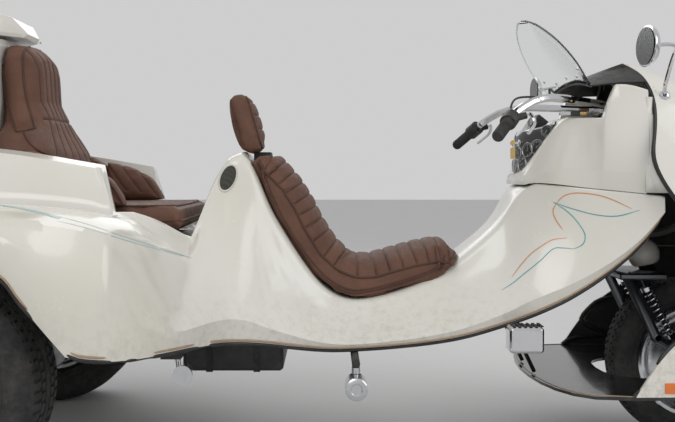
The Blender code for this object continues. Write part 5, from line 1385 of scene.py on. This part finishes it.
class TRIKE_OT_dash(bpy.types.Operator):
    """Builds the dash: its bulged panel, round gauges with rims, dials and glass, rivets and display"""

    bl_idname = "trike.dash"
    bl_label = "Dash"

    def half(self, up):
        for (a, wide_a), (b, wide_b) in zip(DASH_HALF, DASH_HALF[1:]):
            if up <= b:
                return wide_a + (wide_b - wide_a) * (up - a) / (b - a)
        return DASH_HALF[-1][1]

    def pod(self):
        """The panel's face swells towards the rider, inside the plain panel's box."""
        bm = bmesh.new()
        rows = []
        for i in range(17):
            up = i / 16
            base = DASH_LOW + (DASH_HIGH - DASH_LOW) * up
            row = []
            for j in range(25):
                across = j / 12 - 1
                swell = min(base.x - DASH_FRONT_X, DASH_BULGE) * (1 - abs(across) ** 2.2)
                swell *= min(1.0, (1.03 - up) / 0.2)
                row.append(bm.verts.new((base.x - 0.0065 - swell, across * self.half(up), base.z + 0.0045)))
            rows.append(row)
        for a, b in zip(rows, rows[1:]):
            for j in range(24):
                bm.faces.new((a[j], a[j + 1], b[j + 1], b[j]))
        for face in bm.faces:
            face.normal_update()
        if sum(face.normal.x for face in bm.faces) > 0:
            bmesh.ops.reverse_faces(bm, faces=bm.faces)
        panel = from_bm("dash_panel", bm, "gloss_black", "trike", turn_out=False)
        wall = panel.modifiers.new("Wall", "SOLIDIFY")
        wall.thickness = 0.005
        wall.offset = -1.0
        rounded(panel, 0.0012)
        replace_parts(panel, "dash_panel")
        bm = bmesh.new()
        outline = ((0.7358, 1.0665), (0.7762, 1.1295), (0.740, 1.158), (0.699, 1.094))
        face = bm.faces.new([bm.verts.new((x, -0.06, z)) for x, z in outline])
        grown = bmesh.ops.extrude_face_region(bm, geom=[face])
        moved = [vert for vert in grown["geom"] if isinstance(vert, bmesh.types.BMVert)]
        bmesh.ops.translate(bm, vec=(0.0, 0.135, 0.0), verts=moved)
        rounded(from_bm("display_box", bm, "plastic", "trike"), 0.005, 3)
        return panel

    def execute(self, context):
        tree = surface_of(self.pod())
        for i, pixel in enumerate(GAUGE_PIXELS):
            hit = seen_at(tree, pixel)
            if not hit:
                raise RuntimeError(f"gauge {i} misses the dash panel")
            self.gauge(i, *hit, GAUGE_R * (0.8 if i == 0 else 1.0))
        bm = bmesh.new()
        for pixel in RIVET_PIXELS:
            hit = seen_at(tree, pixel)
            if hit:
                round_screw(bm, *hit, 0.0045)
        from_bm("dash_rivets", bm, "chrome", "trike")
        self.display()
        self.key(tree)
        return {"FINISHED"}

    def gauge(self, i, spot, out, radius):
        bm = bmesh.new()
        profile = [(radius * 0.9, 0.001), (radius * 0.9, 0.004), (radius * 0.95, 0.0052), (radius, 0.004)]
        profile += [(radius * 1.02, -0.006), (radius * 0.9, -0.006), (radius * 0.9, 0.001)]
        turned(bm, profile, spot, out, 40)
        from_bm(f"gauge_rim_{i}", bm, "steel", "trike")
        bm = bmesh.new()
        turned(bm, [(radius * 0.9, -0.006), (radius * 0.9, 0.002), (0.0, 0.002)], spot, out, 40)
        from_bm(f"gauge_dial_{i}", bm, "plastic", "trike")
        bm = bmesh.new()
        side = out.orthogonal().normalized()
        up = out.cross(side).normalized()
        marks = 24
        for k in range(marks):
            angle = math.radians(-45 + 270 * k / (marks - 1))
            ray = side * math.cos(angle) + up * math.sin(angle)
            inner = 0.6 if k % 4 == 0 else 0.7
            ends = [spot + out * 0.0022 + ray * radius * share for share in (inner, 0.8)]
            cylinder(bm, ends[0], ends[1], 0.0005 if k % 4 else 0.0008, 4)
        angle = math.radians(20 + 55 * i)
        ray = side * math.cos(angle) + up * math.sin(angle)
        start, end = spot + out * 0.0035 - ray * radius * 0.15, spot + out * 0.0035 + ray * radius * 0.65
        cylinder(bm, start, end, 0.0009, 6, 0.0004)
        from_bm(f"gauge_marks_{i}", bm, "white", "trike")
        bm = bmesh.new()
        turned(bm, [(0.0, 0.0048), (radius * 0.5, 0.0046), (radius * 0.895, 0.0038), (radius * 0.895, 0.003),
                    (0.0, 0.0038)], spot, out, 40)
        from_bm(f"gauge_glass_{i}", bm, "glass", "trike")

    def display(self):
        """The dark display's screen with its buttons, on the box at the top of the panel."""
        bm = bmesh.new()
        corners = (Vector((0.7358, 0, 1.0665)), Vector((0.699, 0, 1.094)), Vector((0.740, 0, 1.158)))
        along = (corners[2] - corners[1]).normalized()
        out = Vector((-along.z, 0, along.x))
        centre = (corners[1] + corners[2]) / 2 + Vector((0, 0.0075, 0)) + out * 0.0008
        made = bmesh.ops.create_cube(bm, size=1.0)
        turn = Matrix((along, Vector((0, 1, 0)), out)).transposed().to_4x4()
        size = Matrix.Diagonal((0.05, 0.105, 0.0016, 1.0))
        bmesh.ops.transform(bm, matrix=Matrix.Translation(centre) @ turn @ size, verts=made["verts"])
        rounded(from_bm("display_screen", bm, "glass_dark", "trike"), 0.0006)
        bm = bmesh.new()
        for k in range(4):
            spot = centre + Vector((0, -0.058, 0)) + along * (-0.018 + 0.012 * k) + out * 0.0002
            turned(bm, [(0.0035, -0.001), (0.0035, 0.001), (0.0, 0.0014)], spot, out, 14)
        from_bm("display_buttons", bm, "steel", "trike")

    def key(self, tree):
        """An ignition lock with its key and a plain brass tag on a ring."""
        spot, out = seen_at(tree, KEY_PIXEL)
        bm = bmesh.new()
        turned(bm, [(0.011, 0.0), (0.011, 0.004), (0.008, 0.006), (0.0, 0.006)], spot, out, 28)
        low = spot + out * 0.006
        block(bm, low + Vector((-0.012, -0.0012, -0.004)), low + Vector((0.002, 0.0012, 0.004)))
        from_bm("ignition_lock", bm, "chrome", "trike")
        bm = bmesh.new()
        tip = low + Vector((-0.02, 0.0, 0.0))
        made = bmesh.ops.create_cone(bm, cap_ends=True, segments=20, radius1=0.01, radius2=0.01, depth=0.0018)
        bmesh.ops.transform(bm, matrix=Matrix.Translation(tip) @ Matrix.Rotation(math.pi / 2, 4, "X"),
                            verts=made["verts"])
        block(bm, tip + Vector((-0.0095, -0.0045, -0.056)), tip + Vector((0.0085, -0.003, -0.018)))
        rounded(from_bm("key_and_tag", bm, "brass", "trike"), 0.001)
        ring = []
        for k in range(16):
            angle = math.tau * k / 16
            ring.append(tip + Vector((0.0, -0.002 + 0.003 * math.cos(angle),
                                      -0.0125 + 0.009 * math.sin(angle))))
        tube("key_ring", ring, 0.0009, "steel", "trike", closed=True, sides=2, steps=2)


class TRIKE_OT_lamps(bpy.types.Operator):
    """Dresses the headlamps with rims and lenses, and the tail lamps with their turn lamps and frames"""

    bl_idname = "trike.lamps"
    bl_label = "Lamps"

    def execute(self, context):
        for side, tag in SIDES:
            low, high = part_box("headlamp_" + tag)
            front = Vector((high.x, (low.y + high.y) / 2, (low.z + high.z) / 2))
            radius = (high.z - low.z) / 2
            shell = dress("headlamp_" + tag, "chrome", levels=0)
            rounded(shell, 0.003)
            bm = bmesh.new()
            profile = [(radius * 0.9, -0.004), (radius * 0.9, 0.002), (radius * 0.97, 0.004),
                       (radius * 1.02, 0.0)]
            profile += [(radius * 1.02, -0.014), (radius * 1.001, -0.014), (radius * 1.001, -0.004),
                        profile[0]]
            turned(bm, profile, front - Vector((0.004, 0, 0)), (1, 0, 0), 56)
            from_bm("headlamp_rim_" + tag, bm, "chrome", "trike")
            bm = bmesh.new()
            profile = [(0.0, 0.0005), (radius * 0.6, -0.0005), (radius * 0.895, -0.003)]
            profile += [(radius * 0.895, -0.0035), (0.0, -0.003)]
            turned(bm, profile, front, (1, 0, 0), 48)
            from_bm("headlamp_lens_" + tag, bm, "lamp", "trike")
            tail = dress("tail_lamp_" + tag, "red", levels=0)
            rounded(tail, 0.003)
            low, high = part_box("tail_lamp_" + tag)
            bm = bmesh.new()
            amber_low = (low.x - 0.0006, low.y + (high.y - low.y) * (0.68 if side > 0 else 0.0),
                         low.z + 0.006)
            amber_high = (low.x + 0.01, low.y + (high.y - low.y) * (1.0 if side > 0 else 0.32),
                          high.z - 0.006)
            block(bm, amber_low, amber_high)
            rounded(from_bm("turn_lamp_" + tag, bm, "amber", "trike"), 0.001)
            bm = bmesh.new()
            for y in (low.y - 0.003, high.y):
                block(bm, (low.x + 0.004, y, low.z - 0.003), (high.x, y + 0.003, high.z + 0.003))
            for z in (low.z - 0.003, high.z):
                block(bm, (low.x + 0.004, low.y - 0.003, z), (high.x, high.y + 0.003, z + 0.003))
            from_bm("tail_lamp_frame_" + tag, bm, "chrome", "trike")
        return {"FINISHED"}


class TRIKE_OT_mirrors(bpy.types.Operator):
    """Dresses the chrome mirrors and sets their glass, black as a painted dark reflection, and stalk nuts"""

    bl_idname = "trike.mirrors"
    bl_label = "Mirrors"

    def execute(self, context):
        for side, tag in SIDES:
            dress("mirror_" + tag, "chrome", levels=1, sharp=50.0)
            bm = bmesh.new()
            centre = Vector((0.8925, side * 0.712, 1.307))
            turned(bm, [(0.0, 0.0), (0.054, 0.0), (0.0545, 0.0012), (0.0, 0.0015)], Vector((0, 0, 0)),
                   (-1, 0, 0), 48)
            bmesh.ops.scale(bm, vec=(1.0, 1.38, 0.97), verts=bm.verts)
            bmesh.ops.translate(bm, vec=centre + Vector((-0.0005, 0, 0)), verts=bm.verts)
            # The glass is black: a painted dark reflection
            from_bm("mirror_glass_" + tag, bm, "mirror", "trike")
            bm = bmesh.new()
            foot = Vector((1.087, side * 0.3195, 1.2))
            turned(bm, [(0.0, 0.0), (0.016, 0.0), (0.016, 0.005), (0.012, 0.009), (0.007, 0.011)], foot,
                   (-0.2, side, 0.3), 28)
            from_bm("mirror_foot_" + tag, bm, "chrome", "trike")
        return {"FINISHED"}


class TRIKE_OT_screen(bpy.types.Operator):
    """Dresses the windscreen with its edge bead, lower seal and screws"""

    bl_idname = "trike.screen"
    bl_label = "Windscreen"

    # Height up the screen as a share, and half its width there
    half_widths = ((0.0, 0.262), (0.3, 0.295), (0.6, 0.262), (0.85, 0.17), (0.96, 0.085), (1.0, 0.03))

    def execute(self, context):
        screen = dress("windscreen", "screen", levels=1, sharp=50.0)
        tree = surface_of(screen)
        rim = self.edge()
        tube("windscreen_edge", rim, 0.0032, "screen_edge", "trike", sides=3, steps=3)
        lower = self.foot_points()
        tube("windscreen_seal", slid(tree, lower, 0.0015), 0.0055, "rubber", "trike", sides=3, steps=3)
        bm = bmesh.new()
        for i in (1, len(lower) // 4, len(lower) // 2, 3 * len(lower) // 4, len(lower) - 2):
            place, normal, _, _ = tree.find_nearest(lower[i] + Vector((-0.02, 0, 0.012)))
            normal = normal if normal.x < 0 else -normal
            round_screw(bm, place + normal * 0.0004, normal, 0.006)
        from_bm("windscreen_screws", bm, "chrome", "trike")
        return {"FINISHED"}

    def edge(self):
        """The screen's free edge, up one side, over the top and down the other."""
        side = []
        for share, half in self.half_widths:
            x = 0.876 - 0.156 * share - 0.01 * (1 + 2.5 * share)
            side.append(Vector((x, half, 1.256 - 0.024 * (1 - share) + 0.232 * share)))
        ring = [Vector((p.x, -p.y, p.z)) for p in side] + list(reversed(side))
        last = len(ring) - 1
        out = []
        for i in range(last):
            a, b, c, d = (ring[max(0, min(last, k))] for k in (i - 1, i, i + 1, i + 2))
            for n in range(6):
                t = n / 6
                out.append(0.5 * (2 * b + (c - a) * t + (2 * a - 5 * b + 4 * c - d) * t * t
                                  + (3 * b - a - 3 * c + d) * t**3))
        return out + [ring[-1]]

    def foot_points(self):
        """The line where the screen leaves the cowl."""
        rows = {}
        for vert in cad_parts["windscreen"].data.vertices:
            key = round(vert.co.y / 0.03)
            if key not in rows or vert.co.z < rows[key].z:
                rows[key] = vert.co.copy()
        return [rows[key] + Vector((0, 0, 0.004)) for key in sorted(rows) if abs(rows[key].y) < 0.29]


class TRIKE_OT_fittings(bpy.types.Operator):
    """Adds the speakers, side reflectors, number plate, bumper finish, hinges and small hardware"""

    bl_idname = "trike.fittings"
    bl_label = "Fittings"

    def execute(self, context):
        self.speakers()
        self.reflectors()
        self.rear_panel()
        self.steering_lock()
        self.lid_details()
        self.tray_details()
        return {"FINISHED"}

    def speakers(self):
        """An oval grille in a rim on each flank of the hump, where the photograph shows the near one."""
        tree = BODY_TREE["body"]
        hit = seen_at(tree, SPEAKER_PIXEL)
        if not hit:
            raise RuntimeError("the speaker misses the hump")
        place, normal = hit
        top = seen_at(tree, SPEAKER_TOP_PIXEL)[0]
        long_way = (top - place).normalized()
        wide_way = normal.cross(long_way).normalized()
        for side, tag in SIDES:
            flip = Matrix.Diagonal((1, -1 if side > 0 else 1, 1))
            turn = Matrix((long_way, wide_way, normal)).transposed()
            bm = bmesh.new()
            turned(bm, [(0.0, 0.004), (0.03, 0.0035), (0.046, 0.002), (0.048, -0.004)],
                   (0, 0, 0), (0, 0, 1), 48)
            self.put(bm, place, turn, flip)
            from_bm("speaker_grille_" + tag, bm, "grille", "trike")
            bm = bmesh.new()
            ring = [(0.046, 0.0), (0.046, 0.004), (0.05, 0.006), (0.053, 0.004), (0.054, -0.004),
                    (0.046, -0.004)]
            turned(bm, ring + [ring[0]], (0, 0, 0), (0, 0, 1), 48)
            for k in range(4):
                angle = math.tau * (k + 0.5) / 4
                round_screw(bm, (0.05 * math.cos(angle), 0.05 * math.sin(angle), 0.005), (0, 0, 1), 0.0025)
            self.put(bm, place, turn, flip)
            from_bm("speaker_rim_" + tag, bm, "cream", "trike")

    def put(self, bm, place, turn, flip):
        shape = Matrix.Diagonal((0.95, 0.52, 1.0, 1.0))
        matrix = flip.to_4x4() @ Matrix.Translation(place) @ turn.to_4x4() @ shape
        bmesh.ops.transform(bm, matrix=matrix, verts=bm.verts)

    def reflectors(self):
        for side, tag in SIDES:
            tree = BODY_TREE["lower"]
            spot, normal, _, _ = tree.ray_cast(Vector((1.085, side * 0.8, 0.285)), Vector((0, -side, 0)))
            if not spot:
                raise RuntimeError("the reflector misses the nose")
            bm = bmesh.new()
            low = spot + Vector((-0.045, -0.0, -0.016))
            high = spot + Vector((0.045, 0.0, 0.016))
            block(bm, (low.x, spot.y - 0.006, low.z), (high.x, spot.y + 0.006, high.z))
            rounded(from_bm("side_reflector_" + tag, bm, "amber", "trike"), 0.002, 3)

    def rear_panel(self):
        bumper = dress("rear_bumper", "chrome", levels=0)
        rounded(bumper, 0.003)
        bm = bmesh.new()
        block(bm, (-1.7245, -0.14, 0.82), (-1.7203, 0.14, 0.94))
        rounded(from_bm("number_plate", bm, "white", "trike"), 0.0015)
        bm = bmesh.new()
        for y in (-0.12, 0.12):
            for z in (0.832, 0.928):
                round_screw(bm, (-1.7245, y, z), (-1, 0, 0), 0.005)
        for side in (-1, 1):
            for y in (side * 0.39, side * 0.41):
                cylinder(bm, (-1.7495, y, 0.548), (-1.747, y, 0.548), 0.004, 6)
        from_bm("rear_screws", bm, "steel", "trike")

    def steering_lock(self):
        """The chrome strip, black block and brass cylinder under the handlebar on the near side."""
        tree = BODY_TREE["housing"]
        hit = seen_at(tree, LOCK_PIXEL)
        if not hit:
            raise RuntimeError("the steering lock misses the dash housing")
        at = hit[0] + Vector((0.0, -0.004, 0.012))
        bm = bmesh.new()
        block(bm, at + Vector((-0.036, -0.01, 0.0)), at + Vector((0.0, 0.01, 0.012)))
        rounded(from_bm("lock_strip", bm, "chrome", "trike"), 0.002)
        bm = bmesh.new()
        block(bm, at + Vector((0.0, -0.012, -0.002)), at + Vector((0.03, 0.012, 0.016)))
        rounded(from_bm("lock_block", bm, "plastic", "trike"), 0.002)
        bm = bmesh.new()
        cylinder(bm, at + Vector((0.03, 0.0, 0.007)), at + Vector((0.052, 0.0, 0.007)), 0.008, 24)
        from_bm("lock_cylinder", bm, "brass", "trike")

    def lid_details(self):
        bm = bmesh.new()
        for y in (-0.2, 0.2):
            cylinder(bm, (-1.706, y - 0.03, 1.4235), (-1.706, y + 0.03, 1.4235), 0.0062, 16)
        from_bm("lid_hinges", bm, "chrome", "trunk_lid")
        for side, tag in SIDES:
            bm = bmesh.new()
            for x in (-1.12, -1.16):
                round_screw(bm, (x, side * 0.3003, 1.455), (0, side, 0), 0.0045)
            from_bm("lid_screws_" + tag, bm, "steel", "trunk_lid")

    def tray_details(self):
        """The tan line along the tray's rear edge."""
        edge = {}
        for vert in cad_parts["nose_floor"].data.vertices:
            angle = math.atan2(vert.co.y, vert.co.x - 1.2)
            key = round(angle / 0.09)
            reach = math.hypot(vert.co.y, vert.co.x - 1.2)
            if key not in edge or reach > edge[key][0]:
                edge[key] = (reach, vert.co.copy())
        ring = [Vector((edge[key][1].x, edge[key][1].y, 0.0)) for key in sorted(edge)]
        low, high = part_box("nose_floor")
        path = []
        for point in ring:
            inward = (Vector((1.2, 0.0, 0.0)) - point).normalized() * 0.012
            path.append(Vector((point.x + inward.x, point.y + inward.y, high.z)))
        behind = [p for p in path if p.x < 0.99]
        behind.sort(key=lambda p: math.atan2(p.y, 1.2 - p.x))
        tube("tray_line", behind, 0.0022, "tan", "trike", sides=2, steps=2)


class TRIKE_OT_stage(bpy.types.Operator):
    """Lays the pale floor, hangs the soft lights and sets the camera"""

    bl_idname = "trike.stage"
    bl_label = "Stage"

    shift = (0.0141, -0.0563)
    lights = (
        ("Key light", (-2.5, -5.5, 5.0), 4.5, "key"),
        ("Fill light", (4.5, -3.0, 3.0), 4.0, "fill"),
        ("Rim light", (-1.0, 5.5, 4.5), 5.0, "fill"),
    )

    def execute(self, context):
        settings = context.scene.trike_stage
        bm = bmesh.new()
        bmesh.ops.create_grid(bm, x_segments=1, y_segments=1, size=settings.floor / 2)
        mesh = bpy.data.meshes.new("floor")
        bm.to_mesh(mesh)
        bm.free()
        floor = bpy.data.objects.new("floor", mesh)
        context.scene.collection.objects.link(floor)
        paint = Shade("Pale floor", (0.62, 0.62, 0.62), 0.8)
        paint.link(paint.mix(paint.noise(1.5, 3.0), (0.6, 0.6, 0.6), (0.64, 0.64, 0.64)), "Base Color")
        mesh.materials.append(paint.material)
        for name, place, size, kind in self.lights:
            lamp = bpy.data.lights.new(name, "AREA")
            lamp.shape = "DISK"
            lamp.size = size
            lamp.energy = getattr(settings, kind)
            thing = bpy.data.objects.new(name, lamp)
            thing.location = place
            aim = Vector((0, 0, 0.7)) - Vector(place)
            thing.rotation_euler = aim.to_track_quat("-Z", "Y").to_euler()
            context.scene.collection.objects.link(thing)
        world = context.scene.world or bpy.data.worlds.new("World")
        context.scene.world = world
        world.use_nodes = True
        sky = world.node_tree.nodes["Background"]
        sky.inputs["Color"].default_value = (1.0, 1.0, 1.0, 1.0)
        sky.inputs["Strength"].default_value = settings.world
        camera = bpy.data.cameras.new("Camera")
        camera.lens = LENS_MM
        camera.sensor_width = SENSOR_MM
        camera.shift_x, camera.shift_y = self.shift
        eye = bpy.data.objects.new("Camera", camera)
        eye.location = CAMERA_AT
        eye.rotation_euler = (math.pi / 2, 0.0, 0.0)
        context.scene.collection.objects.link(eye)
        context.scene.camera = eye
        context.scene.view_settings.view_transform = "Standard"
        return {"FINISHED"}


class TRIKE_PT_looks(bpy.types.Panel):
    """Lists the trike's pieces and what can be changed on them"""

    bl_idname = "TRIKE_PT_looks"
    bl_label = "Motor trike"
    bl_space_type = "VIEW_3D"
    bl_region_type = "UI"
    bl_category = CATEGORY

    def draw(self, context):
        column = self.layout.column()
        for operator in OPERATORS:
            column.operator(operator.bl_idname)
        for key in SETTINGS:
            group = getattr(context.scene, key)
            box = column.box()
            for field in group.bl_rna.properties:
                if field.identifier not in ("rna_type", "name"):
                    box.prop(group, field.identifier)


OPERATORS = (
    TRIKE_OT_stage,
    TRIKE_OT_body,
    TRIKE_OT_nose,
    TRIKE_OT_trims,
    TRIKE_OT_pinstripes,
    TRIKE_OT_rider_seat,
    TRIKE_OT_passenger_seat,
    TRIKE_OT_wheels,
    TRIKE_OT_front_end,
    TRIKE_OT_running_gear,
    TRIKE_OT_dash,
    TRIKE_OT_lamps,
    TRIKE_OT_mirrors,
    TRIKE_OT_screen,
    TRIKE_OT_fittings,
)
SETTINGS = {
    "trike_body": TrikeBodySettings,
    "trike_seat": TrikeSeatSettings,
    "trike_wheel": TrikeWheelSettings,
    "trike_stage": TrikeStageSettings,
}
CLASSES = (*SETTINGS.values(), *OPERATORS, TRIKE_PT_looks)


def register():
    for cls in CLASSES:
        bpy.utils.register_class(cls)
    for key, group in SETTINGS.items():
        setattr(bpy.types.Scene, key, PointerProperty(type=group))


def unregister():
    for key in SETTINGS:
        delattr(bpy.types.Scene, key)
    for cls in reversed(CLASSES):
        bpy.utils.unregister_class(cls)


def main():
    register()
    scene = bpy.context.scene
    mix_finishes(scene.trike_seat, scene.trike_body)
    for operator in OPERATORS:
        group, call = operator.bl_idname.split(".")
        getattr(getattr(bpy.ops, group), call)()


if __name__ == "__main__":
    main()
